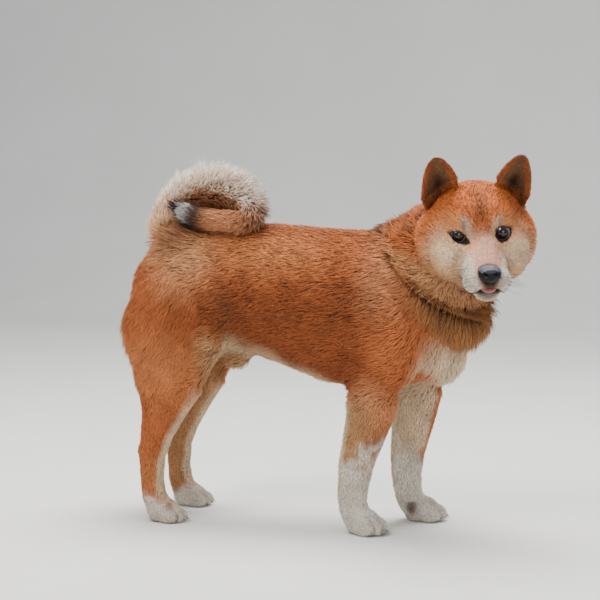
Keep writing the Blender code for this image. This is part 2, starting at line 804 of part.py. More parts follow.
def paw_form(name):
    """One paw with its toes and the leg's lower end, cut flat on the floor and at its top."""
    x, y, turn = PAW_SPOTS[name]
    size = FOREPAW_SIZE if name.startswith("fore") else HINDPAW_SIZE
    way = Matrix.Rotation(math.radians(turn), 4, "Z")
    place = Matrix.Translation((x, y, 0.0)) @ way @ Matrix.Scale(size, 4)
    forms = [ball("palm", (0.001, 0.0, 0.0165), (0.0250, 0.0215, 0.0175)),
             ball("pad", (-0.004, 0.0, 0.0060), (0.0150, 0.0140, 0.0085))]
    for toe_y, toe_x, spread in ((-0.0152, 0.0135, -9.0), (-0.0054, 0.0205, -3.0),
                                 (0.0054, 0.0205, 3.0), (0.0152, 0.0135, 9.0)):
        splay = Matrix.Rotation(math.radians(spread), 4, "Z")
        forms.append(ball("toe", (toe_x, toe_y, 0.0108), (0.0155, 0.0074, 0.0118), splay))
    for form in forms:
        moved(form, place)
    legs = {"forepaw_right": FORELEG_RIGHT, "forepaw_left": FORELEG_LEFT, "hindpaw_right": HINDLEG_RIGHT,
            "hindpaw_left": mirrored(HINDLEG_RIGHT, HIND_STEP_BACK)}
    forms.append(limb_form(legs[name][-5:]))
    paw = fuse(name, forms, PAW_VOXEL, 3, PAW_TRIANGLES)
    cut_away(paw, (x, y, 0.0), (0, 0, -1), 0.20, 0.05)
    cut_away(paw, (x, y, PAW_TOP - GAP), (0, 0, 1), 0.20, 0.20)
    for toe_y, toe_x, spread in ((-0.0165, 0.0275, -9.0), (-0.0060, 0.0345, -3.0),
                                 (0.0060, 0.0345, 3.0), (0.0165, 0.0275, 9.0)):
        boolean(paw, moved(claw_form((toe_x, toe_y, 0.0085), spread), place), "UNION")
    keep_largest(paw)
    return paw


def claw_form(centre, spread):
    """One claw, a short cone that points forward and down."""
    aim = Matrix.Rotation(math.radians(spread), 4, "Z") @ Matrix.Rotation(math.radians(112.0), 4, "Y")
    def fill(work):
        bmesh.ops.create_cone(work, cap_ends=True, segments=6, radius1=0.0022, radius2=0.0006,
                              depth=0.0120, matrix=Matrix.Translation(centre) @ aim)
    return new_object("claw", fill)


def thigh_region(side):
    back = HIND_STEP_BACK if side > 0.0 else 0.0
    def make(grow):
        radii = (0.064 + grow, 0.076 + grow, 0.086 + grow)
        return ball("region", (-0.174 - back, side * 0.088, 0.262), radii,
                    Matrix.Rotation(math.radians(8.0), 4, "Y"), 16, 9)
    return make


def build_body():
    """Torso, neck and limbs fused as one and then parted."""
    hind_left = mirrored(HINDLEG_RIGHT, HIND_STEP_BACK)
    forms = [trunk_form(), neck_form(), limb_form(FORELEG_RIGHT), limb_form(FORELEG_LEFT),
             limb_form(HINDLEG_RIGHT), limb_form(hind_left), tail_core(0.0, 0.30)]
    forms += muscle_forms()
    body = fuse("body", forms, BODY_VOXEL, 6, BODY_TRIANGLES)
    cut_away(body, TAIL_ROOT[0], TAIL_ROOT[1], 0.085, 0.10)
    cut_away(body, NECK_TOP[0], NECK_TOP[1], 0.40, 0.30)
    cut_away(body, (0.0, 0.0, PAW_TOP), (0, 0, -1), 0.80, 0.20)
    nodes = {}
    for side, word in ((-1.0, "right"), (1.0, "left")):
        nodes["thigh_" + word] = take_region(body, "thigh_" + word, thigh_region(side))
    slabs = [block("slab", NECK_BASE[0], NECK_BASE[1], 0.34, GAP)]
    for side in (-1.0, 1.0):
        fore = 0.118 if side < 0.0 else 0.150
        slabs.append(block("slab", (fore, side * 0.057, ELBOW_LEVEL - GAP), (0, 0, 1), 0.110, GAP))
        slabs.append(block("slab", (-0.165, side * 0.060, STIFLE_LEVEL - GAP), (0.10, 0, 1), 0.115, GAP))
        slabs.append(block("slab", (-0.187, side * 0.060, HOCK_LEVEL - GAP), (-0.25, 0, 1), 0.090, GAP))
    boolean(body, join("slabs", slabs), "DIFFERENCE")
    seeds = {"torso": (0.0, 0.0, 0.30), "neck": (0.19, 0.0, 0.33)}
    for side, word, back in ((-1.0, "right", 0.0), (1.0, "left", HIND_STEP_BACK)):
        fore = 0.10 if side < 0.0 else 0.14
        seeds["foreleg_" + word] = (fore, side * 0.055, 0.11)
        seeds["shank_" + word] = (-0.165 - back, side * 0.058, 0.147)
        seeds["rear_pastern_" + word] = (-0.19 - back, side * 0.060, 0.070)
    nodes.update(split_by_seed(body, seeds))
    return nodes


def build_head():
    """The head with its ears' roots, sockets, nose bed and mouth, and the pieces that fit into it."""
    place = head_matrix()
    nodes = {}
    forms = face_forms() + [ear_shell(-1.0), ear_shell(1.0)]
    for form in forms:
        moved(form, place)
    forms.append(neck_form())
    head = fuse("head", forms, HEAD_VOXEL, 22, HEAD_TRIANGLES)
    away = -Vector(NECK_TOP[1])
    seam = Vector(NECK_TOP[0]) + Vector(NECK_TOP[1]).normalized() * GAP
    cut_away(head, seam, away, 0.50, 0.30)
    moved(head, place.inverted())
    for side, word in ((-1.0, "right"), (1.0, "left")):
        point = Vector(mirror_y(EAR_SEAM[0], side))
        normal = Vector(mirror_y(EAR_SEAM[1], side)).normalized()
        cut_away(head, point, normal, 0.14, 0.12)
        ear = fuse("ear_" + word, [ear_shell(side)], EAR_VOXEL, 2, EAR_TRIANGLES)
        cut_away(ear, point + normal * GAP, -normal, 0.14, 0.12)
        keep_largest(ear)
        nodes["ear_" + word] = ear
        spot = (EYE_BACK, side * EYE_SIDE, 0.0)
        socket = ball("socket", spot, (EYE_RADIUS + GAP,) * 3, None, 16, 10)
        boolean(head, socket, "DIFFERENCE")
        boolean(head, almond_cutter(side), "DIFFERENCE")
        nodes["eye_" + word] = ball("eye_" + word, spot, (EYE_RADIUS,) * 3, None, 16, 10)
    boolean(head, nose_form(GAP), "DIFFERENCE")
    boolean(head, mouth_cutter(), "DIFFERENCE")
    boolean(head, jaw_slab(), "DIFFERENCE")
    nodes.update(split_by_seed(head, {"head": (-0.03, 0.0, 0.0), "lower_jaw": (0.045, 0.0, -0.060)}))
    nose = nose_form(0.0)
    nose.name = "nose"
    for side in (-1.0, 1.0):
        boolean(nose, ball("nostril", (0.0835, side * 0.0062, -0.0262), (0.0060, 0.0030, 0.0027), None, 8, 6),
                "DIFFERENCE")
        wing = Matrix.Rotation(math.radians(side * 28.0), 4, "X")
        slot = ball("nostril_wing", (0.0790, side * 0.0118, -0.0285), (0.0050, 0.0040, 0.0011), wing, 8, 4)
        boolean(nose, slot, "DIFFERENCE")
    nodes["nose"] = nose
    nodes["tongue"] = tongue_form()
    for node in nodes.values():
        moved(node, place)
    return nodes


def trim(item, cutter, operation="DIFFERENCE"):
    """One cut by the fast solver, which is the one that holds on a body with many locks."""
    boolean(item, cutter, operation, "MANIFOLD")


def build_tail(torso):
    """The tail with its locks in four lengths, cut clear of one another and of the back."""
    draw = np.random.default_rng(LOCK_SEED)
    curl = tail_core(0.0, TURN_END + 0.02)
    union_all(curl, tail_locks(0.03, TURN_END, LOCK_SPACING, draw), "MANIFOLD")
    end = tail_core(TURN_END - 0.02, 1.0)
    union_all(end, tail_locks(TURN_END + 0.02, 0.96, LOCK_SPACING_END, draw), "MANIFOLD")
    up = Vector(TAIL_ROOT[1]).normalized()
    trim(curl, block("under", Vector(TAIL_ROOT[0]) + up * GAP, -up, 0.12, 0.10))
    here, along, out, side = tail_frame(TURN_END)
    trim(curl, block("past", here, along, CUT_REACH, CUT_DEPTH))
    trim(end, block("before", here + along * GAP * 1.2, -along, CUT_REACH, CUT_DEPTH))
    room = return_room()
    trim(end, grown_copy(room, -1.5 * GAP), "INTERSECT")
    trim(curl, room)
    for piece in (curl, end):
        trim(piece, grown_copy(torso, 1.5 * GAP))
        keep_largest(piece)
    for t, lean in TAIL_CUTS:
        trim(curl, cone_slit(t, lean))
    seeds = {}
    for name, t in (("tail_base", 0.12), ("tail_arch", 0.34), ("tail_turn", 0.56)):
        seeds[name] = tail_point(t)
    nodes = split_by_seed(curl, seeds)
    end.name = "tail_tip"
    nodes["tail_tip"] = end
    return nodes


def finish(nodes):
    """Name, colour and place the nodes with the middle of their box's foot at the origin."""
    points = [vert.co for node in nodes.values() for vert in node.data.vertices]
    low = [min(p[axis] for p in points) for axis in range(3)]
    high = [max(p[axis] for p in points) for axis in range(3)]
    shift = Matrix.Translation((-(low[0] + high[0]) / 2.0, -(low[1] + high[1]) / 2.0, -low[2]))
    print("box", [round(v, 4) for v in low], [round(v, 4) for v in high])
    total = 0
    for name, node in sorted(nodes.items()):
        node.data.transform(shift)
        node.name = name
        node.data.name = name
        total += face_count(node)
        print("node", name, face_count(node))
        paint(node, name)
    print("triangles", total)


COLOURS = {
    "torso": (0.56, 0.25, 0.11), "neck": (0.60, 0.29, 0.14), "head": (0.62, 0.33, 0.18),
    "lower_jaw": (0.68, 0.45, 0.31), "nose": (0.02, 0.02, 0.022), "tongue": (0.78, 0.36, 0.36),
    "eye": (0.03, 0.018, 0.012), "ear": (0.52, 0.25, 0.13),
    "foreleg": (0.66, 0.42, 0.28), "forepaw": (0.80, 0.74, 0.68), "thigh": (0.56, 0.26, 0.12),
    "shank": (0.60, 0.34, 0.20), "rear_pastern": (0.72, 0.56, 0.44), "hindpaw": (0.78, 0.70, 0.62),
    "tail_base": (0.64, 0.36, 0.20), "tail_arch": (0.80, 0.62, 0.46), "tail_turn": (0.70, 0.50, 0.36),
    "tail_tip": (0.30, 0.24, 0.22),
}


def paint(node, name):
    """Give a node its own plain material."""
    key = name if name in COLOURS else name.rsplit("_", 1)[0]
    skin = bpy.data.materials.new(name)
    skin.use_nodes = True
    shader = skin.node_tree.nodes["Principled BSDF"]
    shader.inputs["Base Color"].default_value = (*COLOURS[key], 1.0)
    shader.inputs["Roughness"].default_value = 0.25 if key in ("eye", "nose", "tongue") else 0.85
    node.data.materials.clear()
    node.data.materials.append(skin)


def main():
    clear_scene()
    nodes = build_body()
    nodes.update(build_head())
    for name in PAW_SPOTS:
        nodes[name] = paw_form(name)
    nodes.update(build_tail(nodes["torso"]))
    finish(nodes)


main()
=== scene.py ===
"""A shiba inu standing still, its head turned to its right: skin, coat and face over the solids."""
import math

import bmesh
import bpy
import numpy as np
from mathutils import Matrix, Vector
from mathutils.bvhtree import BVHTree
from mathutils.kdtree import KDTree


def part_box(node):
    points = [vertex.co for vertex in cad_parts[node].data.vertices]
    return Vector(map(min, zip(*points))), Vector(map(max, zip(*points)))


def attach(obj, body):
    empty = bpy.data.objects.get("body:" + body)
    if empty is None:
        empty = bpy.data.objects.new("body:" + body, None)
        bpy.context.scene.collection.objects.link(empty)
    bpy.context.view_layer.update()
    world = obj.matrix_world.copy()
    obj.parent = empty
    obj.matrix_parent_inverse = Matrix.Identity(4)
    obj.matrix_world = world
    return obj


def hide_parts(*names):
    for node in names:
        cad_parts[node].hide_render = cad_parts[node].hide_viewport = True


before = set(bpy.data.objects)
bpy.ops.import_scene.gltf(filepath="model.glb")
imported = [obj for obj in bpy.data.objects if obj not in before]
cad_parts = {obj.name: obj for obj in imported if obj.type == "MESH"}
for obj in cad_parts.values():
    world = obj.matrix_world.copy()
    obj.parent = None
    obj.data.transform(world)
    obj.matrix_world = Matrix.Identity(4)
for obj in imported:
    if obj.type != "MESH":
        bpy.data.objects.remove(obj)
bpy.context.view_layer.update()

# Places from the part's own named sizes, in metres, before the part was centred on its foot.
HEAD_PLACE = (0.2695, -0.1000, 0.3940)
HEAD_TURN, HEAD_DIP, HEAD_TIP = -68.0, 14.0, 1.8
EYE_SIDE, EYE_BACK, LID_RADIUS = 0.0262, -0.0035, 0.0136
MOUTH_CORNER = (0.020, -0.0450)
NOSE_TIP = (0.0790, 0.0, -0.0270)
EAR_BASE = (-0.046, 0.0405, 0.022)
EAR_TIP = (-0.026, 0.0530, 0.0920)
TAIL_PATH = (
    (-0.1950, 0.000, 0.345), (-0.1900, 0.000, 0.385), (-0.1720, -0.002, 0.416),
    (-0.1400, -0.006, 0.436), (-0.1000, -0.012, 0.437), (-0.0690, -0.022, 0.422),
    (-0.0650, -0.034, 0.409), (-0.0860, -0.043, 0.404), (-0.1150, -0.048, 0.405),
    (-0.1380, -0.049, 0.411), (-0.1500, -0.049, 0.416),
)
TAIL_HUB = (-0.118, -0.024, 0.404)
PAW_SPOTS = (
    (0.1040, -0.0600, -22.0, 1.0), (0.1530, 0.0520, 8.0, 1.0),
    (-0.1740, -0.0600, -6.0, 0.93), (-0.1820, 0.0600, 8.0, 0.93),
)
PAW_TOES = ((-0.0165, 0.0275, -9.0), (-0.0060, 0.0345, -3.0), (0.0060, 0.0345, 3.0),
            (0.0165, 0.0275, 9.0))
TONGUE_MIDDLE, TONGUE_HALVES = (0.0575, 0.0, -0.0484), (0.0150, 0.0120, 0.0020)
TONGUE_GROOVE, TONGUE_DROOP, TONGUE_CUP = 0.0007, 0.0032, 0.0006
LIP_FRONT, LIP_POINTS, LIP_SEARCH = 0.0675, 15, (-0.040, -0.064)
LIP_THIN, LIP_BOW = 0.0003, 0.0007
# Whiskers: rows and how many to a row, the first one's place, steps back and down, and their thickness.
WHISKER_ROWS, WHISKERS_IN_ROW = 4, 5
WHISKER_FRONT, WHISKER_TOP, WHISKER_BACK, WHISKER_DOWN, WHISKER_HALF = 0.068, -0.034, 0.0062, 0.0048, 0.00026
TOE_CLEFTS = ((-0.0112, 0.008), (0.0, 0.014), (0.0112, 0.008))
CLAW_LENGTH, CLAW_WIDTH, CLAW_POINT, CLAW_BEND, CLAW_HEIGHT = 0.0130, 0.0021, 0.0003, 0.0030, 0.0088

# Each eye in the head's frame: the ball's middle, where the iris points, and the opening between the
# lids as places sideways and up, from the outer corner over the upper lid. The sides differ a little.
BALL_RADIUS, IRIS_ANGLE = 0.0125, 0.55
CORNEA_ANGLE, CORNEA_RISE = 0.58, 0.05
LID_PRESS, LID_BACK = 0.0050, 0.0022
UPPER_RIM, LOWER_RIM = 0.00085, 0.00115
EYE_LOOKS = {
    "right": ((-0.0045, -0.0285, 0.0000), (-7.0, 9.0), (
        (-40.5, 3.2), (-38.0, 5.1), (-35.1, 6.6), (-30.9, 7.2), (-26.8, 6.6), (-23.4, 3.7), (-19.6, -0.8),
        (-15.8, -5.7), (-17.0, -7.5), (-22.2, -8.3), (-27.4, -7.9), (-32.7, -5.9), (-36.8, -2.2),
        (-38.8, 1.1))),
    "left": ((-0.0045, 0.0268, 0.0015), (-6.0, 7.0), (
        (37.0, 6.7), (32.8, 9.0), (26.3, 10.7), (21.2, 10.1), (18.1, 7.7), (17.0, 3.0), (17.4, -1.6),
        (19.3, -5.1), (23.5, -7.4), (28.1, -6.5), (33.4, -3.3), (36.5, 1.8))),
}

# The tail's coat: place, skin radius, reach of the hair on the outer and inner side of the curl, lean.
TAIL_PLACE, TAIL_SKIN, TAIL_OUTER, TAIL_INNER, TAIL_LEAN = range(5)
TAIL_COAT = (
    (0.00, 0.0135, 0.026, 0.022, 68.0),
    (0.12, 0.0125, 0.031, 0.024, 60.0),
    (0.26, 0.0115, 0.040, 0.028, 40.0),
    (0.42, 0.0110, 0.044, 0.030, 25.0),
    (0.54, 0.0105, 0.042, 0.030, 30.0),
    (0.66, 0.0095, 0.029, 0.022, 54.0),
    (0.76, 0.0090, 0.018, 0.017, 66.0),
    (1.00, 0.0080, 0.0155, 0.0155, 70.0),
)

# Each region of the coat: how deep the skin lies under it, then the tufts' length and width, how
# steeply they leave the skin and how they lie at their tips in degrees, and tufts to a square mm.
DEPTH, LENGTH, WIDTH, RISE, LAY, DENSITY = range(6)
REGIONS = ("torso", "neck", "thigh", "leg", "paw", "face", "ear", "tail")
COAT = {
    "torso": (0.0078, 0.0165, 0.00125, 27.0, 5.0, 0.35),
    "neck": (0.0095, 0.0230, 0.00135, 36.0, 11.0, 0.38),
    "thigh": (0.0075, 0.0175, 0.00125, 30.0, 6.0, 0.42),
    "leg": (0.0034, 0.0090, 0.00095, 26.0, 5.0, 0.50),
    "paw": (0.0016, 0.0050, 0.00080, 26.0, 8.0, 0.75),
    "face": (0.0030, 0.0080, 0.00090, 28.0, 7.0, 1.12),
    "ear": (0.0006, 0.0040, 0.00060, 24.0, 6.0, 1.25),
    "tail": (0.0000, 0.0300, 0.00115, 60.0, 45.0, 0.85),
}

# Round the nose and along the lips no hair grows: places and half sizes in the head's frame.
NOSE_BARE = ((0.0745, 0.0, -0.0275), (0.012, 0.0138, 0.0108))
LIPS_BARE = ((0.064, 0.0, -0.0490), (0.016, 0.0110, 0.0045))
# The nest of hair under the tail's end, painted dark as the tail's shadow, and the bristles at the nape.
NEST, NEST_SIZE, NEST_SHADE = (-0.150, -0.028, 0.388), (0.034, 0.034, 0.026), (0.032, 0.034, 0.026)
NAPE, NAPE_SIZE = (0.165, -0.03, 0.415), (0.06, 0.07, 0.038)
BACK_SPLIT, FACE_SPLIT = 0.325, -0.008

# The coat's colours.
RED = (0.52, 0.150, 0.048)
RED_DEEP = (0.27, 0.070, 0.022)
ORANGE = (0.68, 0.270, 0.100)
TAN = (0.52, 0.300, 0.140)
CREAM = (0.80, 0.620, 0.410)
WHITE = (0.88, 0.800, 0.690)
PINK = (0.80, 0.450, 0.320)
HIP = (0.75, 0.365, 0.175)
GREY = (0.30, 0.260, 0.230)
BROWN = (0.13, 0.052, 0.025)
SOOT = (0.022, 0.015, 0.013)
CROWN_RED = (0.56, 0.145, 0.036)
RUFF_BROWN_SHADED = (0.30, 0.150, 0.055)
BROW_GREY = (0.44, 0.38, 0.33)
BRIDGE_ROSE = (0.62, 0.33, 0.24)
# The ear's inner hair, partly painted shade of the cup, and the painted shade of its hollow.
EAR_HAIR_SHADED = (0.26, 0.130, 0.070)
EAR_HOLLOW_SHADE = (0.030, 0.011, 0.007)
FROST = (0.50, 0.47, 0.45)
NOSE_BLACK, NOSE_SHEEN = (0.006, 0.006, 0.007), (0.085, 0.082, 0.110)

# Camera, and each lamp's place, aim, size, power and colour.
LENS, SENSOR = 85.0, 24.0
VIEW_TURN, VIEW_RISE, VIEW_FAR, VIEW_HEIGHT = 18.0, 5.0, 2.83, 0.297
LAMPS = {
    "key_lamp": ((-0.7, -1.5, 2.2), (0.05, 0.0, 0.28), 1.2, 52.0, (1.0, 0.95, 0.88)),
    "top_lamp": ((0.0, 0.5, 2.4), (0.0, 0.0, 0.3), 1.8, 120.0, (1.0, 0.99, 0.97)),
    "front_lamp": ((1.5, -2.3, 1.0), (0.1, 0.0, 0.3), 1.4, 20.0, (1.0, 0.98, 0.95)),
}
SKY_COLOUR, SKY_STRENGTH = (0.86, 0.90, 0.96, 1.0), 0.50
FLOOR_NEAR, FLOOR_FAR, FLOOR_CURVE, FLOOR_HALF, WALL_TOP = -3.0, 2.4, 1.2, 6.0, 4.0

NOISE_DETAIL, NOISE_ROUGH = 4.0, 0.6
# How finely the skins are fused, how far their forms are grown to overlap, and the tail's own tube.
BODY_VOXEL, HEAD_VOXEL, NOSE_VOXEL = 0.0030, 0.0017, 0.0005
BODY_GROW, HEAD_GROW = 0.0005, 0.0003
TAIL_STEPS, TAIL_SIDES = 200, 14
# Tufts: half of each one's patch on the unwrap, and the least height.
PATCH_HALF = 0.0014
FLOOR_GAP = 0.0004
# A tuft's rings: their share of its width and how far each has turned to the tip's colour.
LONG_STAGES = ((1.0, 0.30), (0.72, 0.80))
SHORT_STAGES = ((1.0, 0.55),)


def turned(angle, axis):
    return Matrix.Rotation(math.radians(angle), 4, axis)


def middle(node):
    low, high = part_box(node)
    return (Vector(low) + Vector(high)) / 2.0


HEAD_ONLY = turned(HEAD_TURN, "Z") @ turned(HEAD_DIP, "Y") @ turned(HEAD_TIP, "X")
EYES = (middle("eye_left") + middle("eye_right")) / 2.0
SHIFT = EYES - (Matrix.Translation(HEAD_PLACE) @ HEAD_ONLY) @ Vector((EYE_BACK, 0.0, 0.0))
SHIFT.z = 0.0
HEAD = Matrix.Translation(Vector(HEAD_PLACE) + SHIFT) @ HEAD_ONLY
SHIFT_ROW = np.array(SHIFT)
HEAD_TURNS = np.array(HEAD.to_3x3())
HEAD_ORIGIN = np.array(HEAD.translation)


def in_head(points):
    """Points of the scene in the head's own frame: x to the nose, y to its left, z up."""
    return (points - HEAD_ORIGIN) @ HEAD_TURNS


def ease(low, high, value):
    t = np.clip((value - low) / (high - low), 0.0, 1.0)
    return t * t * (3.0 - 2.0 * t)


def patch(points, centre, radii, soft=0.45):
    """1 inside an oval patch and 0 outside, with a soft edge."""
    far = np.sqrt((((points - np.array(centre)) / np.array(radii)) ** 2).sum(1))
    return 1.0 - ease(1.0 - soft, 1.0 + soft, far)


def spline(a, b, c, d, f):
    """The smooth curve through four places, a share f of the way from the second to the third."""
    return 0.5 * (2.0 * b + (c - a) * f + (2.0 * a - 5.0 * b + 4.0 * c - d) * f * f
                  + (3.0 * b - a - 3.0 * c + d) * f ** 3)


def unit(rows):
    return rows / np.maximum(np.sqrt((rows ** 2).sum(1, keepdims=True)), 1e-9)


def ripple(points, size, seed):
    """Smooth noise from -1 to 1 made of a few crossing waves, about size across."""
    draw = np.random.default_rng(seed)
    total = np.zeros(len(points))
    for _ in range(7):
        way = draw.normal(size=3)
        way *= 2.0 * math.pi / (size * np.linalg.norm(way)) * draw.uniform(0.6, 1.5)
        total += np.sin(points @ way + draw.uniform(0.0, 6.283))
    return np.clip(total / 2.6, -1.0, 1.0)


def eye_reach(word, q):
    """How far points of the head lie from the middle of an eye's opening: 1 at the opening's edge."""
    outline = np.array(EYE_LOOKS[word][2]) / 1000.0
    centre = (outline.max(0) + outline.min(0)) / 2.0
    spots = outline - centre
    angles = np.arctan2(spots[:, 1], spots[:, 0])
    order = np.argsort(angles)
    reach = np.sqrt((spots ** 2).sum(1))
    away = q[:, 1:] - centre
    edge = np.interp(np.arctan2(away[:, 1], away[:, 0]), angles[order], reach[order], period=2.0 * math.pi)
    return np.where(q[:, 0] > -0.012, np.sqrt((away ** 2).sum(1)) / edge, 9.0)


def eyes_reach(q):
    return np.minimum(eye_reach("right", q), eye_reach("left", q))


# Materials.

def material(name, colour, rough, **values):
    """A Principled material with plain values on its own sockets."""
    made = bpy.data.materials.new(name)
    made.use_nodes = True
    shader = made.node_tree.nodes["Principled BSDF"]
    shader.inputs["Base Color"].default_value = (*colour, 1.0)
    shader.inputs["Roughness"].default_value = rough
    for key, value in values.items():
        shader.inputs[key.replace("_", " ")].default_value = value
    return made


def noise_node(tree, scale):
    coords = tree.nodes.new("ShaderNodeTexCoord")
    noise = tree.nodes.new("ShaderNodeTexNoise")
    noise.inputs["Scale"].default_value = scale
    noise.inputs["Detail"].default_value = NOISE_DETAIL
    noise.inputs["Roughness"].default_value = NOISE_ROUGH
    tree.links.new(coords.outputs["Object"], noise.inputs["Vector"])
    return noise


def ramp_node(tree, source, stops):
    """A colour ramp on a number; stops are places and colours."""
    ramp = tree.nodes.new("ShaderNodeValToRGB")
    bands = ramp.color_ramp.elements
    while len(bands) < len(stops):
        bands.new(0.5)
    for band, (place, colour) in zip(bands, stops):
        band.position = place
        band.color = (*colour, 1.0)
    tree.links.new(source, ramp.inputs["Fac"])
    return ramp


def multiply_node(tree, first, second, share):
    mix = tree.nodes.new("ShaderNodeMix")
    mix.data_type = "RGBA"
    mix.blend_type = "MULTIPLY"
    mix.inputs["Factor"].default_value = share
    colour_ins = [socket for socket in mix.inputs if socket.type == "RGBA"]
    tree.links.new(first, colour_ins[0])
    tree.links.new(second, colour_ins[1])
    return next(socket for socket in mix.outputs if socket.type == "RGBA")


def add_bump(tree, source, strength, far):
    bump = tree.nodes.new("ShaderNodeBump")
    bump.inputs["Strength"].default_value = strength
    bump.inputs["Distance"].default_value = far
    tree.links.new(source, bump.inputs["Height"])
    tree.links.new(bump.outputs["Normal"], tree.nodes["Principled BSDF"].inputs["Normal"])


def set_base(tree, socket):
    tree.links.new(socket, tree.nodes["Principled BSDF"].inputs["Base Color"])


def attribute_node(tree, name):
    found = tree.nodes.new("ShaderNodeAttribute")
    found.attribute_name = name
    return found


def add_tone(tree, scale, dark, light, low=0.3, high=0.7):
    """A base colour that drifts between two tones."""
    tone = ramp_node(tree, noise_node(tree, scale).outputs["Fac"], ((low, dark), (high, light)))
    set_base(tree, tone.outputs["Color"])


def coat_material(name, shade_dim, rough, bumpy):
    """Hair or skin coloured by the coat's own markings, with fine streaks of light and dark; a factor below
    one paints the skin darker, as shade under the coat.
    """
    made = material(name, RED, rough, Specular_IOR_Level=0.14)
    tree = made.node_tree
    marks = attribute_node(tree, "coat")
    streaks = noise_node(tree, 420.0)
    shade = ramp_node(tree, streaks.outputs["Fac"], ((0.25, (shade_dim * 0.72,) * 3), (0.75, (shade_dim * 1.16,) * 3)))
    set_base(tree, multiply_node(tree, marks.outputs["Color"], shade.outputs["Color"], 1.0))
    if bumpy:
        add_bump(tree, noise_node(tree, 900.0).outputs["Fac"], 0.5, 0.0006)
    return made


def leather_material(name, dark, light, scale, rough, coat, painted=False):
    """Bare skin with a fine pebbled grain."""
    made = material(name, dark, rough, Specular_IOR_Level=0.16, Coat_Weight=coat, Coat_Roughness=0.18)
    tree = made.node_tree
    tone = ramp_node(tree, noise_node(tree, scale * 0.3).outputs["Fac"], ((0.3, dark), (0.75, light)))
    base = tone.outputs["Color"]
    if painted:
        base = multiply_node(tree, attribute_node(tree, "coat").outputs["Color"], base, 1.0)
    set_base(tree, base)
    cells = tree.nodes.new("ShaderNodeTexVoronoi")
    cells.feature = "DISTANCE_TO_EDGE"
    cells.inputs["Scale"].default_value = scale
    coords = tree.nodes.new("ShaderNodeTexCoord")
    tree.links.new(coords.outputs["Object"], cells.inputs["Vector"])
    add_bump(tree, cells.outputs["Distance"], 0.45, 0.0008)
    return made


# Meshes.

def piece_from(name, mesh, finish_material, nodes=()):
    """Put a finished mesh in the scene as a piece of the part."""
    item = bpy.data.objects.new(name, mesh)
    mesh.name = name
    bpy.context.scene.collection.objects.link(item)
    mesh.materials.clear()
    mesh.materials.append(finish_material)
    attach(item, "root")
    if nodes:
        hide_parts(*nodes)


def finished(name, work, smooth=True):
    """Turn a bmesh into a mesh and free it."""
    mesh = bpy.data.meshes.new(name)
    work.to_mesh(mesh)
    work.free()
    if smooth:
        mesh.shade_smooth()
    return mesh


def add_to(whole, mesh):
    """Join a mesh to a bmesh and remove it."""
    whole.from_mesh(mesh)
    bpy.data.meshes.remove(mesh)


def merged_nodes(names, grow):
    """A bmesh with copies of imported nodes, each merged and grown a little so that neighbours overlap."""
    whole = bmesh.new()
    for name in names:
        one = bmesh.new()
        one.from_mesh(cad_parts[name].data)
        bmesh.ops.remove_doubles(one, verts=one.verts, dist=0.00002)
        one.normal_update()
        for vert in one.verts:
            vert.co += vert.normal * grow
        add_to(whole, finished("copy", one, False))
    return whole


def fused(work, voxel, soften):
    """One closed skin round the closed forms of a bmesh."""
    mesh = finished("fused", work, False)
    item = bpy.data.objects.new("fused", mesh)
    bpy.context.scene.collection.objects.link(item)
    skin = item.modifiers.new("skin", "REMESH")
    skin.mode = "VOXEL"
    skin.voxel_size = voxel
    soft = item.modifiers.new("soft", "SMOOTH")
    soft.factor = 0.5
    soft.iterations = soften
    graph = bpy.context.evaluated_depsgraph_get()
    made = bpy.data.meshes.new_from_object(item.evaluated_get(graph))
    bpy.data.objects.remove(item)
    bpy.data.meshes.remove(mesh)
    return made


def points_of(mesh):
    flat = np.empty(len(mesh.vertices) * 3)
    mesh.vertices.foreach_get("co", flat)
    return flat.reshape(-1, 3)


def normals_of(mesh):
    flat = np.empty(len(mesh.vertices) * 3)
    mesh.vertex_normals.foreach_get("vector", flat)
    return flat.reshape(-1, 3)


def rows_of(x, y, z):
    """Rows of three from columns or plain numbers."""
    return np.stack(np.broadcast_arrays(x, y, z), 1)


def mirrored(q):
    """Points of the head with both sides laid over one another."""
    return rows_of(q[:, 0], np.abs(q[:, 1]), q[:, 2])


def belongs(weights, region):
    """How much each point belongs to one region."""
    return weights[:, REGIONS.index(region)]


def set_points(mesh, points):
    mesh.vertices.foreach_set("co", points.ravel())
    mesh.update()


def neighbours_of(mesh, most=8):
    """For each vertex the numbers of those joined to it, filled up with its own."""
    pairs = np.empty(len(mesh.edges) * 2, dtype=np.int64)
    mesh.edges.foreach_get("vertices", pairs)
    pairs = pairs.reshape(-1, 2)
    both = np.concatenate((pairs, pairs[:, ::-1]))
    both = both[np.argsort(both[:, 0], kind="stable")]
    count = np.bincount(both[:, 0], minlength=len(mesh.vertices))
    starts = np.concatenate(((0,), np.cumsum(count)[:-1]))
    table = np.repeat(np.arange(len(mesh.vertices))[:, None], most, 1)
    order = np.arange(len(both)) - np.repeat(starts, count)
    fits = order < most
    table[both[fits, 0], order[fits]] = both[fits, 1]
    return table


def add_mesh(name, verts, corners, sizes):
    """A mesh from arrays: vertex places, corner indices face after face, and corners to a face."""
    mesh = bpy.data.meshes.new(name)
    mesh.vertices.add(len(verts))
    mesh.vertices.foreach_set("co", verts.ravel())
    mesh.loops.add(len(corners))
    mesh.loops.foreach_set("vertex_index", corners.astype(np.int32))
    mesh.polygons.add(len(sizes))
    starts = np.concatenate(((0,), np.cumsum(sizes)[:-1])).astype(np.int32)
    mesh.polygons.foreach_set("loop_start", starts)
    mesh.polygons.foreach_set("use_smooth", np.ones(len(sizes), dtype=bool))
    mesh.update(calc_edges=True)
    return mesh


def paint(mesh, colours):
    """Store the coat's colours on the vertices."""
    layer = mesh.color_attributes.new("coat", "FLOAT_COLOR", "POINT")
    full = np.ones((len(colours), 4))
    full[:, :3] = colours
    layer.data.foreach_set("color", full.ravel())


# The tail's line.

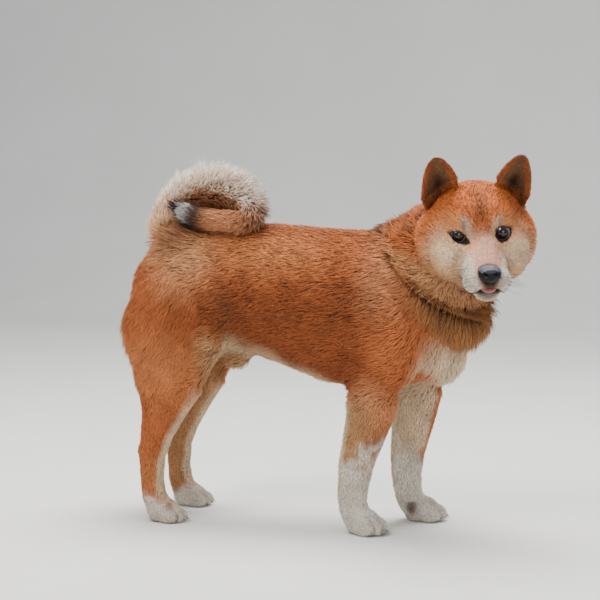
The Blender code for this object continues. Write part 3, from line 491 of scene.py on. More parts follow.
def tail_curve():
    """Points along the tail's smooth middle line, evenly numbered by length, with their directions."""
    path = np.array(TAIL_PATH) + SHIFT_ROW
    fine = []
    for k in range(len(path) - 1):
        p0, p1 = path[max(k - 1, 0)], path[k]
        p2, p3 = path[k + 1], path[min(k + 2, len(path) - 1)]
        for f in np.arange(0.0, 1.0, 0.05):
            fine.append(spline(p0, p1, p2, p3, f))
    fine.append(path[-1])
    fine = np.array(fine)
    steps = np.sqrt((np.diff(fine, axis=0) ** 2).sum(1))
    run = np.concatenate(((0.0,), np.cumsum(steps)))
    even = np.linspace(0.0, run[-1], TAIL_STEPS + 1)
    line = np.stack([np.interp(even, run, fine[:, axis]) for axis in range(3)], 1)
    return line, unit(np.gradient(line, axis=0))


TAIL_LINE, TAIL_ALONG = tail_curve()


def tail_out(rows):
    """Outward side of the curl at places on the tail's line."""
    along = TAIL_ALONG[rows]
    out = TAIL_LINE[rows] - (np.array(TAIL_HUB) + SHIFT_ROW)
    return unit(out - along * (out * along).sum(1, keepdims=True))


def tail_value(t, column):
    return np.interp(t, [row[TAIL_PLACE] for row in TAIL_COAT], [row[column] for row in TAIL_COAT])


def add_tail_core(work):
    """The tail's own flesh as a closed tube."""
    rings = []
    for k in range(0, TAIL_STEPS + 1, 4):
        t = k / TAIL_STEPS
        along = Vector(TAIL_ALONG[k])
        out = Vector(tail_out(np.array([k]))[0])
        side = along.cross(out)
        size = float(tail_value(t, TAIL_SKIN)) * math.sqrt(max(0.06, 1.0 - max(0.0, (t - 0.94) / 0.06) ** 2))
        ring = []
        for n in range(TAIL_SIDES):
            turn = 2.0 * math.pi * n / TAIL_SIDES
            spot = Vector(TAIL_LINE[k]) + (out * math.cos(turn) + side * math.sin(turn)) * size
            ring.append(work.verts.new(spot))
        rings.append(ring)
    for low, high in zip(rings, rings[1:]):
        for n in range(TAIL_SIDES):
            m = (n + 1) % TAIL_SIDES
            work.faces.new((low[n], low[m], high[m], high[n]))
    work.faces.new(list(reversed(rings[0])))
    work.faces.new(rings[-1])
    bmesh.ops.recalc_face_normals(work, faces=work.faces)


def nearest_on_tail(points, batch=8000):
    """Place along the tail and number of the nearest point of its line."""
    best = np.empty(len(points), dtype=np.int64)
    for start in range(0, len(points), batch):
        part = points[start:start + batch]
        far = ((part[:, None, :] - TAIL_LINE[None, :, :]) ** 2).sum(2)
        best[start:start + batch] = far.argmin(1)
    return best / TAIL_STEPS, best


# Skin.

LEG_PARTS = ("thigh", "foreleg", "shank", "rear_pastern", "forepaw", "hindpaw")
BODY_NODES = ["torso", "neck"] + [part + "_" + side for side in ("left", "right") for part in LEG_PARTS]
HEAD_NODES = ["head", "lower_jaw", "ear_left", "ear_right"]
TAIL_NODES = ["tail_base", "tail_arch", "tail_turn", "tail_tip"]
REGION_OF = {"torso": "torso", "neck": "neck", "thigh": "thigh", "foreleg": "leg", "shank": "leg",
             "rear": "leg", "forepaw": "paw", "hindpaw": "paw", "head": "face", "lower": "face",
             "ear": "ear", "tail": "tail"}


def surface_tree(mesh):
    return BVHTree.FromPolygons([v.co.copy() for v in mesh.vertices],
                                [tuple(face.vertices) for face in mesh.polygons])


def solids_tree(names):
    """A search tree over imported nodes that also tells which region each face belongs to."""
    spots, faces, owners = [], [], []
    for name in names:
        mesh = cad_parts[name].data
        base = len(spots)
        spots += [vert.co.copy() for vert in mesh.vertices]
        faces += [tuple(base + n for n in face.vertices) for face in mesh.polygons]
        owners += [REGIONS.index(REGION_OF[name.split("_")[0]])] * len(mesh.polygons)
    return BVHTree.FromPolygons(spots, faces), owners


def region_weights(mesh, names, rounds):
    """How much each vertex belongs to each region, blended over the seams."""
    tree, owners = solids_tree(names)
    points = points_of(mesh)
    weights = np.zeros((len(points), len(REGIONS)))
    for k, point in enumerate(points):
        weights[k, owners[tree.find_nearest(Vector(point))[2]]] = 1.0
    near = neighbours_of(mesh)
    for _ in range(rounds):
        weights = weights[near].mean(1)
    return weights / weights.sum(1, keepdims=True), near


def coat_value(weights, column):
    return weights @ np.array([COAT[name][column] for name in REGIONS])


def face_shares(q):
    """How near a point of the head is to its bare parts, and how far back in the ruff it lies."""
    eyes = np.array([(EYE_BACK + 0.008, side * EYE_SIDE, 0.0) for side in (-1.0, 1.0)])
    eye_far = np.sqrt(((q[:, None, :] - eyes[None]) ** 2).sum(2)).min(1)
    nose_far = np.sqrt(((q - np.array(NOSE_TIP)) ** 2).sum(1))
    bare = np.minimum(ease(0.010, 0.030, eye_far), ease(0.012, 0.060, nose_far))
    ruff = ease(0.020, -0.062, q[:, 0]) * ease(0.035, -0.040, q[:, 2])
    cheek = ease(0.020, 0.066, np.abs(q[:, 1])) * ease(0.020, -0.030, q[:, 2]) * ease(0.055, -0.010, q[:, 0])
    return bare, np.maximum(ruff, cheek * 0.5)


def open_eyes(mesh):
    """Press the head's skin back inside each opening, so that the eyeball shows between the lids."""
    points = points_of(mesh)
    q = in_head(points)
    for word, (ball, _, _) in EYE_LOOKS.items():
        inside = 1.0 - ease(0.86, 1.04, eye_reach(word, q))
        off = ((q[:, 1:] - np.array(ball)[1:]) ** 2).sum(1)
        ball_front = ball[0] + np.sqrt(np.maximum(BALL_RADIUS ** 2 - off, 0.0))
        drop = np.clip(q[:, 0] - ball_front + LID_BACK, 0.0, LID_PRESS) * inside
        points = points - HEAD_TURNS[:, 0] * drop[:, None]
        q = in_head(points)
    set_points(mesh, points)


def toe_gaps(points):
    """1 in the clefts between the toes and 0 elsewhere."""
    total = np.zeros(len(points))
    for x, y, turn, size in PAW_SPOTS:
        angle = math.radians(turn)
        away = (points[:, :2] - SHIFT_ROW[:2] - np.array((x, y))) / size
        front = away[:, 0] * math.cos(angle) + away[:, 1] * math.sin(angle)
        aside = away[:, 1] * math.cos(angle) - away[:, 0] * math.sin(angle)
        for gap, start in TOE_CLEFTS:
            cleft = np.exp(-((aside - gap * (0.8 + 10.0 * np.clip(front, 0.0, 0.03))) / 0.0017) ** 2)
            total += cleft * ease(start, start + 0.010, front) * (front < 0.05) * (np.abs(aside) < 0.03)
    return np.clip(total, 0.0, 1.0) * ease(0.034, 0.024, points[:, 2])


def sink_skin(mesh, weights, near):
    """Draw the skin in by the depth of its coat."""
    points, normals = points_of(mesh), normals_of(mesh)
    bare, ruff = face_shares(in_head(points))
    depth = coat_value(weights, DEPTH)
    face = belongs(weights, "face")
    on_face = 0.0006 + 0.0026 * bare + 0.0050 * ruff
    depth = depth * (1.0 - face) + on_face * face
    depth *= 1.0 - 0.75 * ease(0.016, 0.004, points[:, 2])
    for _ in range(4):
        depth = depth[near].mean(1)
        normals = unit(normals[near].mean(1))
    depth = depth + 0.0022 * toe_gaps(points)
    moved = points - normals * depth[:, None]
    moved[:, 2] = np.maximum(moved[:, 2], 0.0006)
    for _ in range(2):
        moved = moved * 0.5 + moved[near].mean(1) * 0.5
    set_points(mesh, moved)


# The coat's markings, the same for skin and tufts.

def blend_to(base, colour, share):
    return base * (1.0 - share[:, None]) + np.array(colour) * share[:, None]


def layered(ground, layers):
    """Lay colours over a ground colour one after another, each with its share at every point."""
    rows = np.tile(np.array(ground), (len(layers[0][1]), 1))
    for colour, share in layers:
        rows = blend_to(rows, colour, share)
    return rows


def trunk_layers(p, normals, wave):
    """Saddle, rump, belly, throat and bib, with painted light on the tops of back, rump and shoulders, and
    painted shade below the cheek, on the neck's front, in the chest's fold, in the crease before the thigh
    and under the tail's end.
    """
    x, y, z = p.T

    def on_side(place_x, place_z, half_x, half_z):
        return patch(rows_of(x, 0.0, z), (place_x, 0.0, place_z), (half_x, 1.0, half_z), 0.9)

    saddle = ease(-0.10, -0.06, x) * ease(0.15, 0.11, x + 0.02 * wave)
    belly = ease(0.232, 0.204, z + 0.40 * x + 0.010 * wave)
    belly = belly * ease(-0.13, -0.09, x) * ease(0.15, 0.09, x)
    front = ease(0.165, 0.215, x + 0.35 * (z - 0.30) + 0.010 * wave)
    bib = ease(0.166, 0.206, x + 0.020 * wave) * ease(0.272, 0.232, z + 0.02 * wave) * ease(0.120, 0.150, z)
    return [
        (RED_DEEP, 0.85 * saddle * ease(0.345, 0.305, z + 0.03 * wave)),
        (RED_DEEP, 0.35 * saddle * ease(0.37, 0.39, z)),
        # Painted light: the upper sides of back, rump and shoulders made lighter where light from above
        # falls.
        (ORANGE, 0.60 * on_side(-0.020, 0.362, 0.070, 0.022)),
        (HIP, 0.85 * on_side(-0.135, 0.356, 0.038, 0.040)),
        (HIP, 0.45 * on_side(0.142, 0.345, 0.028, 0.050)),
        (HIP, 0.75 * ease(-0.12, -0.19, x) * ease(0.335, 0.37, z)),
        (RED_DEEP, 0.85 * on_side(-0.115, 0.268, 0.050, 0.046)),
        # Painted shadow on the neck below the cheek.
        (BROWN, 0.70 * on_side(0.192, 0.330, 0.024, 0.040)),
        (HIP, 0.50 * on_side(0.125, 0.170, 0.024, 0.028)),
        # Painted shadow under the tail's end.
        (BROWN, 0.75 * patch(p, (-0.150, -0.030, 0.388), NEST_SHADE, 0.5)),
        # Painted shade in the crease at the thigh's front edge.
        (BROWN, 0.50 * on_side(-0.078, 0.292, 0.013, 0.034)),
        (ORANGE, 0.45 * on_side(-0.165, 0.215, 0.045, 0.040)),
        (BROWN, 0.85 * patch(p, (0.160, -0.03, 0.418), (0.050, 0.07, 0.038), 0.6)),
        (TAN, 0.85 * belly),
        (CREAM, 0.55 * belly * ease(-0.2, -0.8, normals[:, 2])),
        # The neck's front under the head is darker: partly its own colour, partly painted shade.
        (RUFF_BROWN_SHADED, 0.80 * front * ease(0.40, 0.35, z)),
        # Painted shadow in the fold of the chest above the bib.
        (BROWN, 0.45 * front * ease(0.25, 0.29, z) * (0.5 + 0.5 * ripple(p, 0.03, 8))),
        (CREAM, 0.92 * bib * ease(-0.100, -0.050, y)),
        (CREAM, 0.75 * ease(-0.214, -0.228, x) * ease(0.31, 0.27, z) * ease(0.10, 0.16, z)),
    ]


def leg_layers(p, normals, wave):
    """Pale insides, darkened on the hind legs by painted shade, white socks with a broken edge, pale front
    and rear edges, and painted shade in the clefts between the toes.
    """
    x, y, z = p.T
    side = np.sign(y + 1e-6)
    fore = ease(0.05, 0.07, x)
    hind = 1.0 - fore
    inner = ease(0.15, 0.65, -normals[:, 1] * side) * ease(0.235, 0.190, z)
    lean = 0.10 * (x - 0.10) * (side < 0)
    low_fore = ease(0.132, 0.084, z + 0.030 * wave + 0.012 * ripple(p, 0.014, 27) + lean) * fore
    shin = (side > 0) * ease(0.2, 0.7, normals[:, 0]) * ease(0.075, 0.095, z)
    return [
        (CREAM, 0.85 * inner * fore),
        # Insides of the hind legs made darker, tan and deep red: painted shade between the legs.
        (TAN, 0.80 * inner * hind),
        (RED_DEEP, 0.25 * inner * hind),
        (ORANGE, 0.15 * ease(0.20, 0.15, z) * fore * (1.0 - inner)),
        (WHITE, 0.92 * low_fore * (1.0 - 0.9 * shin)),
        (CREAM, 0.8 * ease(-0.45, -0.85, normals[:, 0]) * ease(0.19, 0.15, z) * fore),
        (ORANGE, 0.55 * ease(0.120, 0.060, z + 0.010 * wave) * hind * (1.0 - inner)),
        (CREAM, 0.85 * ease(0.40, 0.80, normals[:, 0]) * ease(0.20, 0.15, z) * hind),
        (WHITE, 0.88 * ease(0.042, 0.018, z + 0.014 * wave + 0.006 * ripple(p, 0.012, 29))),
        # Painted shade in the clefts between the toes.
        (GREY, 0.65 * toe_gaps(p + SHIFT_ROW)),
        (BROWN, 0.75 * patch(p, (0.1435, 0.0330, 0.0215), (0.0075, 0.0080, 0.0095), 0.5)),
    ]


def body_colours(p, normals):
    """Colours of trunk, neck and legs for points counted before the part was centred."""
    wave = ripple(p, 0.045, 3) * 0.5
    return layered(RED, trunk_layers(p, normals, wave) + leg_layers(p, normals, wave))


def head_colours(q):
    """Colours of the head for points in its own frame."""
    spots = mirrored(q)
    x, y, z = spots.T
    wave = ripple(q, 0.022, 5) * 0.5
    mottle = 0.5 + 0.5 * ripple(q, 0.010, 17)

    def both(centre, halves, soft):
        return patch(spots, centre, halves, soft)

    bridge = ease(-0.004, 0.020, x) * ease(0.024, 0.009, y) * ease(0.014, 0.000, z)
    muzzle = ease(0.024, 0.042, x + 0.004 * wave)
    muzzle = muzzle * ease(0.010, 0.019, y + 0.35 * np.maximum(0.0, -z - 0.026))
    freckle = patch(q, (0.044, 0.0160, -0.014), (0.020, 0.0065, 0.010), 0.8) * (0.4 + 0.6 * mottle)
    pads = both((0.060, 0.018, -0.042), (0.016, 0.012, 0.012), 0.6)
    outside = eyes_reach(q)
    crown = ease(-0.036, -0.062, x) * ease(-0.045, -0.015, z)
    return layered(CROWN_RED, [
        (BROWN, 0.85 * crown * (0.6 + 0.4 * ripple(q, 0.012, 31))),
        (ORANGE, 0.9 * both((0.002, 0.036, 0.010), (0.030, 0.026, 0.014), 0.6)),
        (BROWN, 0.55 * both((0.004, 0.0, 0.030), (0.030, 0.0075, 0.017), 0.8)),
        (HIP, 0.80 * ease(0.006, -0.034, z + 0.012 * wave) * ease(-0.055, -0.010, x)),
        (CREAM, 0.85 * both((0.016, 0.040, -0.018), (0.034, 0.024, 0.020), 0.9)),
        (CREAM, 0.80 * both((0.012, 0.0165, 0.006), (0.020, 0.0055, 0.012), 0.6)),
        (BROW_GREY, 0.75 * both((0.010, 0.0215, 0.0150), (0.016, 0.0045, 0.0080), 0.7)),
        (SOOT, 0.45 * both((0.012, 0.0225, 0.0115), (0.016, 0.0026, 0.0055), 0.7)),
        (PINK, 0.90 * bridge),
        (WHITE, 0.90 * muzzle),
        (RED_DEEP, 0.75 * freckle),
        (GREY, 0.60 * both((0.034, 0.029, -0.026), (0.014, 0.012, 0.014), 0.8) * mottle),
        (BRIDGE_ROSE, 0.50 * bridge * mottle),
        (CREAM, 0.80 * ease(-0.048, -0.058, z) * ease(0.030, 0.050, x)),
        (TAN, 0.75 * ease(0.044, 0.014, x) * ease(-0.026, -0.056, z)),
        (RED_DEEP, 0.45 * ease(0.020, -0.030, x) * ease(-0.020, -0.056, z) * mottle),
        (GREY, 0.85 * pads * mottle * (0.5 + 0.5 * ripple(q, 0.005, 19))),
        (SOOT, 0.85 * both((0.072, 0.0, -0.0400), (0.012, 0.0095, 0.0080), 0.5)),
        (SOOT, 0.97 * both((0.064, 0.0, -0.0510), (0.016, 0.0150, 0.0070), 0.35)),
        (GREY, 0.75 * both((0.064, 0.0, -0.0575), (0.014, 0.0100, 0.0060), 0.7)),
        (SOOT, 0.9 * both((0.0745, 0.0, -0.0275), (0.012, 0.0150, 0.0125), 0.3)),
        (ORANGE, 0.5 * ease(1.7, 1.2, outside)),
        (SOOT, 0.97 * ease(1.20, 1.06, outside)),
    ])


def ear_colours(q, normals):
    """Red backs and rims, brown hair inside, darkened in part as painted shade of the ear's cup, and painted
    shade in the hollow low down.
    """
    spots = mirrored(q)
    up = np.array(EAR_TIP) - np.array(EAR_BASE)
    along = (spots - np.array(EAR_BASE)) @ up / (up @ up)
    across = unit(np.cross(np.array((1.0, 0.0, 0.0)), up)[None])[0]
    aside = (spots - np.array(EAR_BASE)) @ across / (0.026 * np.clip(1.06 - along, 0.05, 1.0) ** 0.8)
    inside = ease(0.05, 0.35, (normals @ HEAD_TURNS)[:, 0]) * ease(0.98, 0.78, np.abs(aside))
    # Painted shade in the ear's hollow, low down inside.
    hollow = np.exp(-((aside + 0.10) / 0.50) ** 2) * ease(0.02, 0.16, along) * ease(0.72, 0.38, along)
    return layered(RED, [
        (RED_DEEP, 0.45 * ease(0.5, 1.0, along)),
        (EAR_HAIR_SHADED, 0.9 * inside),
        (EAR_HOLLOW_SHADE, 0.92 * hollow * inside),
        (TAN, 0.6 * patch(spots, (-0.030, 0.062, 0.028), (0.016, 0.007, 0.009), 0.6)),
    ])


def tail_colours(t, upward):
    """Root and tip colours of the tail's hair, with painted shade on the inner side of the curl; upward is 1
    on the curl's outer side.
    """
    arch = ease(0.10, 0.30, t) * ease(0.72, 0.62, t)
    # The inner side of the curl is painted darker: painted shade.
    inner = ease(0.52, 0.22, upward) * ease(0.16, 0.26, t)
    back = ease(0.60, 0.70, t)
    dark = ease(0.80, 0.90, t)
    root = layered(HIP, [
        (PINK, 0.7 * arch * ease(0.4, 0.8, upward)), (SOOT, 0.92 * inner),
        (BROWN, 0.9 * back), (SOOT, 0.97 * dark),
    ])
    tip = layered(0.5 * np.array(CREAM) + 0.5 * np.array(HIP), [
        (WHITE, 0.95 * arch * ease(0.20, 0.62, upward)), (RED_DEEP, 0.85 * inner),
        (RED, 0.75 * back), (SOOT, 0.92 * dark),
        (FROST, 0.85 * ease(0.90, 0.95, t) * ease(0.15, 0.45, upward)),
    ])
    return root, tip


def coat_colours(points, normals, weights):
    """The markings at points of the skin, mixed by region."""
    q = in_head(points)
    face, ear, tail = (belongs(weights, name)[:, None] for name in ("face", "ear", "tail"))
    rows = body_colours(points - SHIFT_ROW, normals)
    rows = rows * (1.0 - face - ear) + head_colours(q) * face + ear_colours(q, normals) * ear
    if tail.max() > 0.01:
        t, near = nearest_on_tail(points)
        upward = ((normals * tail_out(near)).sum(1) + 1.0) / 2.0
        rows = rows * (1.0 - tail) + tail_colours(t, upward)[0] * tail
    return rows * (1.0 + 0.10 * ripple(points, 0.030, 11)[:, None])


# How the coat lies.

def coat_lie(points, normals, weights):
    """The way the hair points at each place, along the skin."""
    p = points - SHIFT_ROW
    q = in_head(points)
    x, z = p[:, 0], p[:, 2]
    front = ease(0.14, 0.22, x)
    rear = ease(-0.18, -0.22, x)
    throat = ease(0.33, 0.27, z)
    from_nose = unit(q - np.array(NOSE_TIP))
    from_nose[:, 0] -= 0.25
    from_nose[:, 2] -= 0.35 * ease(0.00, -0.04, q[:, 2]) * ease(0.03, -0.02, q[:, 0])
    ear_up = np.array(EAR_TIP) - np.array(EAR_BASE)
    ear_way = unit(rows_of(ear_up[0], ear_up[1] * np.sign(q[:, 1]), ear_up[2]))
    t, near = nearest_on_tail(points)
    ways = {
        "torso": rows_of(-1.0 + 0.8 * front + 0.7 * rear, 0.0, -0.25 - 1.0 * front - 1.1 * rear),
        "neck": rows_of(-0.78 + 0.6 * throat, 0.22, -0.55 - 0.6 * throat),
        "thigh": np.array([[-0.55, 0.0, -1.0]]),
        "leg": np.array([[-0.12, 0.0, -1.0]]),
        "paw": np.array([[0.8, 0.0, -0.6]]),
        "face": from_nose @ HEAD_TURNS.T,
        "ear": ear_way @ HEAD_TURNS.T,
        "tail": TAIL_ALONG[near],
    }
    total = np.zeros_like(points)
    for name in REGIONS:
        total += unit(ways[name]) * belongs(weights, name)[:, None]
    total += 0.16 * np.stack([ripple(points, 0.035, 20 + k) for k in range(3)], 1)
    flat = total - normals * (total * normals).sum(1, keepdims=True)
    return unit(flat + 1e-5), t, near


def triangles_of(mesh):
    mesh.calc_loop_triangles()
    count = len(mesh.loop_triangles)
    verts = np.empty(count * 3, dtype=np.int64)
    loops = np.empty(count * 3, dtype=np.int64)
    mesh.loop_triangles.foreach_get("vertices", verts)
    mesh.loop_triangles.foreach_get("loops", loops)
    return verts.reshape(-1, 3), loops.reshape(-1, 3)


def plant(mesh, weights, density, draw):
    """Roots spread over a skin: places, normals, region weights and unwrap places."""
    verts, loops = triangles_of(mesh)
    points, normals = points_of(mesh), normals_of(mesh)
    flat = np.empty(len(mesh.loops) * 2)
    mesh.uv_layers["OFBake"].data.foreach_get("uv", flat)
    uvs = flat.reshape(-1, 2)
    a, b, c = (points[verts[:, k]] for k in range(3))
    areas = np.sqrt((np.cross(b - a, c - a) ** 2).sum(1)) / 2.0 * 1e6
    want = areas * density[verts].mean(1)
    number = (want + draw.random(len(want))).astype(np.int64)
    rows = np.repeat(np.arange(len(want)), number)
    u, v = draw.random(len(rows)), draw.random(len(rows))
    fold = u + v > 1.0
    u[fold], v[fold] = 1.0 - u[fold], 1.0 - v[fold]
    shares = np.stack((1.0 - u - v, u, v), 1)

    def mixed(values):
        return (values * shares[:, :, None]).sum(1)

    corner = verts[rows]
    return {"root": mixed(points[corner]), "normal": unit(mixed(normals[corner])),
            "weights": mixed(weights[corner]), "uv": mixed(uvs[loops[rows]])}


def buried(points, ways, other, deep):
    """1 where points lie further than a depth inside another skin, and 0 elsewhere."""
    spots, normals = points_of(other), normals_of(other)
    near_box = ((points > spots.min(0)) & (points < spots.max(0))).all(1)
    corners = [list(face.vertices) for face in other.polygons]
    tree = surface_tree(other)
    found = np.zeros(len(points))
    for k in np.flatnonzero(near_box):
        face = tree.ray_cast(Vector(points[k] + ways[k] * deep), Vector(ways[k]), 0.10)[2]
        if face is not None:
            found[k] = float(normals[corners[face]].sum(0) @ ways[k] > 0.0)
    return found


def clumped(tips, mids, roots, reach, pull, draw):
    """Draw each tuft's tip towards that of a nearby leader, so that the coat breaks into locks."""
    leaders = np.flatnonzero(draw.random(len(roots)) < reach)
    if len(leaders) < 2:
        return tips, mids
    tree = KDTree(len(leaders))
    for k, n in enumerate(leaders):
        tree.insert(roots[n], k)
    tree.balance()
    nearest = np.array([tree.find(root)[1] for root in roots])
    lead = leaders[nearest]
    offset = tips[lead] - tips
    return tips + offset * pull[:, None], mids + offset * pull[:, None] * 0.25


def tuft_mesh(name, field, stages):
    """Closed spindles of three sides as one mesh: a sunk root, a ring for each stage and a tip."""
    count = len(field["root"])
    across = unit(np.cross(field["normal"], field["aim"]))
    spots = [field["root"] - field["normal"] * field["sink"][:, None]] + field["spine"]
    rings = [spots[0][:, None, :]]
    hues = [field["root_colour"][:, None, :]]
    for k, (share, shade) in enumerate(stages):
        here = spots[k + 1]
        ahead = unit(spots[k + 2] - spots[k])
        lift = unit(np.cross(ahead, across))
        half = (field["width"] * share / 2.0)[:, None]
        rings.append(np.stack((here + across * half, here + lift * half * 0.7, here - across * half), 1))
        colour = field["root_colour"] * (1.0 - shade) + field["tip_colour"] * shade
        hues.append(np.repeat(colour[:, None, :], 3, 1))
    rings.append(spots[-1][:, None, :])
    hues.append(field["tip_colour"][:, None, :])
    verts = np.concatenate(rings, 1)
    colours = np.concatenate(hues, 1).reshape(-1, 3)
    each = verts.shape[1]
    faces = []
    for n in range(3):
        m = (n + 1) % 3
        faces.append([0, 1 + m, 1 + n])
        for k in range(1, 3 * len(stages) - 2, 3):
            faces.append([k + n, k + m, k + 3 + m, k + 3 + n])
        faces.append([each - 4 + n, each - 4 + m, each - 1])
    pattern = np.array([n for face in faces for n in face])
    sizes = np.tile(np.array([len(face) for face in faces]), count)
    corners = (np.arange(count)[:, None] * each + pattern[None]).ravel()
    verts = verts.reshape(-1, 3)
    verts[:, 2] = np.maximum(verts[:, 2], FLOOR_GAP)
    mesh = add_mesh(name, verts, corners, sizes)
    paint(mesh, colours)
    angles = np.linspace(0.0, 2.0 * math.pi, each, endpoint=False)
    local = np.stack((np.cos(angles), np.sin(angles)), 1) * PATCH_HALF
    uvs = (field["uv"][:, None, :] + local[None]).reshape(-1, 2)[corners]
    layer = mesh.uv_layers.new(name="OFBake")
    layer.data.foreach_set("uv", uvs.ravel())
    soft = unit(np.repeat(field["normal"][:, None, :], each, 1).reshape(-1, 3) * 0.35 + normals_of(mesh))
    mesh.normals_split_custom_set_from_vertices(soft)
    return mesh


def part_field(field, chosen):
    """The tufts that a yes-or-no row chooses."""
    made = {}
    for key, value in field.items():
        made[key] = [row[chosen] for row in value] if isinstance(value, list) else value[chosen]
    return made


def open_ground(mesh, weights, other):
    """Tufts to a square mm at each vertex: none at soles, eyes, nose and lips or inside the other skin."""
    points, normals = points_of(mesh), normals_of(mesh)
    q = in_head(points)
    density = coat_value(weights, DENSITY)
    hidden = ease(0.0045, 0.0025, points[:, 2])
    face = belongs(weights, "face")
    if face.max() > 0.5:
        hidden = np.maximum(hidden, (eyes_reach(q) < 1.08).astype(float))
        hidden = np.maximum(hidden, patch(mirrored(q), *NOSE_BARE, 0.05))
        hidden = np.maximum(hidden, patch(mirrored(q), *LIPS_BARE, 0.05))
        density = density * (1.0 - 0.68 * ease(0.004, -0.024, q[:, 0]) * face)
    hidden = np.maximum(hidden, buried(points, normals, other, 0.008))
    return density * (1.0 - np.clip(hidden, 0.0, 1.0))


def body_shape(p, q, weight, nape, nest):
    """Length, width, rise and lay of the tufts everywhere but on the tail."""
    face, tail = belongs(weight, "face"), belongs(weight, "tail")
    bare, ruff = face_shares(q)
    length, width, rise, lay = (coat_value(weight, column) for column in (LENGTH, WIDTH, RISE, LAY))
    length = length * (1.0 - face) + (0.0026 + 0.0056 * bare + 0.0120 * ruff) * face
    length *= 1.0 + 0.5 * ease(-0.050, -0.075, q[:, 0]) * face
    width = width * (1.0 - face) + (0.00062 + 0.00030 * bare + 0.00045 * ruff) * face
    breeches = ease(-0.195, -0.222, p[:, 0]) * ease(0.31, 0.28, p[:, 2]) * ease(0.15, 0.19, p[:, 2])
    breeches = breeches * (1.0 - tail)
    chest = ease(0.19, 0.22, p[:, 0]) * (1.0 - face) * ease(0.15, 0.19, p[:, 2])
    length *= 1.0 + 0.45 * breeches
    length *= 1.0 + 0.30 * chest
    length *= 1.0 + 0.25 * nape + 0.9 * nest
    rise += 10.0 * ruff * face + 14.0 * nape + 8.0 * breeches + 34.0 * nest
    lay += 10.0 * nape + 6.0 * breeches + 44.0 * nest
    return length, width, rise, lay


def tail_shape(t, upward, draw):
    """Length and lean of the tail's tufts, with a few long wisps over the arch."""
    skin, outer, inner, lean = (tail_value(t, k) for k in (TAIL_SKIN, TAIL_OUTER, TAIL_INNER, TAIL_LEAN))
    reach = inner + (outer - inner) * upward
    lean = lean + (1.0 - upward) * (62.0 - lean) * 0.45
    length = np.minimum((reach - skin) / np.cos(np.radians(lean * 0.9)), 0.044)
    under = ease(0.6, 0.2, upward)
    length *= 1.0 + 0.95 * ease(0.70, 0.82, t) * under
    length *= 1.0 + 0.50 * ease(0.20, 0.10, t) * under
    wisp = (draw.random(len(t)) < 0.07) * ease(0.10, 0.2, t) * ease(0.62, 0.5, t) * ease(0.6, 0.8, upward)
    length *= 1.0 + wisp * draw.uniform(0.15, 0.55, len(t))
    return length, lean


def bend_tufts(root, normal, aim, length, rise, lay, tail, draw):
    """The way each tuft lies, and its first bend, second bend and tip, gathered into small locks."""
    count = len(root)
    rise = np.radians(np.clip(rise + draw.normal(0.0, 5.0, count), 6.0, 88.0))
    lay = np.radians(np.clip(lay + draw.normal(0.0, 4.0, count), 1.0, 86.0))
    swing = draw.normal(0.0, 0.16, count)[:, None]
    aim = unit(aim + unit(np.cross(normal, aim)) * swing)
    first = aim * np.cos(rise)[:, None] + normal * np.sin(rise)[:, None]
    second = aim * np.cos(lay)[:, None] + normal * np.sin(lay)[:, None]
    mid = root + first * (length * 0.38)[:, None]
    high = mid + unit(first + second) * (length * 0.34)[:, None]
    tip = high + second * (length * 0.28)[:, None]
    tip, high = clumped(tip, high, root, 0.12, 0.35 + 0.15 * tail, draw)
    return aim, [mid, high, tip]


def tuft_colours(field, p, q, nape, t, upward, draw):
    """Root and tip colours, the roots painted darker as shade deep in the coat and the tips painted lighter
    as light at its surface, with dark tips scattered over nape, back, flanks and brow.
    """
    weight = field["weights"]
    face, tail = belongs(weight, "face"), belongs(weight, "tail")[:, None]
    colours = coat_colours(field["root"], field["normal"], weight)
    tail_root, tail_tip = tail_colours(t, upward)
    # Painted shade at the roots and painted light at the tips; the tail's roots are painted darker too.
    tips = colours * 1.12 * (1.0 - tail) + tail_tip * tail
    roots = colours * 0.62 * (1.0 - tail) + tail_root * 0.8 * tail
    back = ease(0.375, 0.398, p[:, 2]) * (1.0 - face) * (1.0 - tail[:, 0]) * ease(-0.21, -0.17, p[:, 0])
    flank = ease(0.24, 0.30, p[:, 2]) * belongs(weight, "torso") * ease(0.20, 0.15, p[:, 0])
    brow = patch(q, (0.0, 0.0, 0.035), (0.035, 0.030, 0.025)) * face
    chance = np.clip(0.75 * nape + 0.30 * back + 0.16 * flank + 0.22 * brow, 0.0, 0.85)
    dark = (draw.random(len(p)) < chance) * draw.uniform(0.5, 0.95, len(p))
    shade = draw.uniform(0.86, 1.14, len(p))[:, None]
    return np.clip(roots * shade, 0.0, 1.0), np.clip(blend_to(tips, SOOT, dark) * shade, 0.0, 1.0)


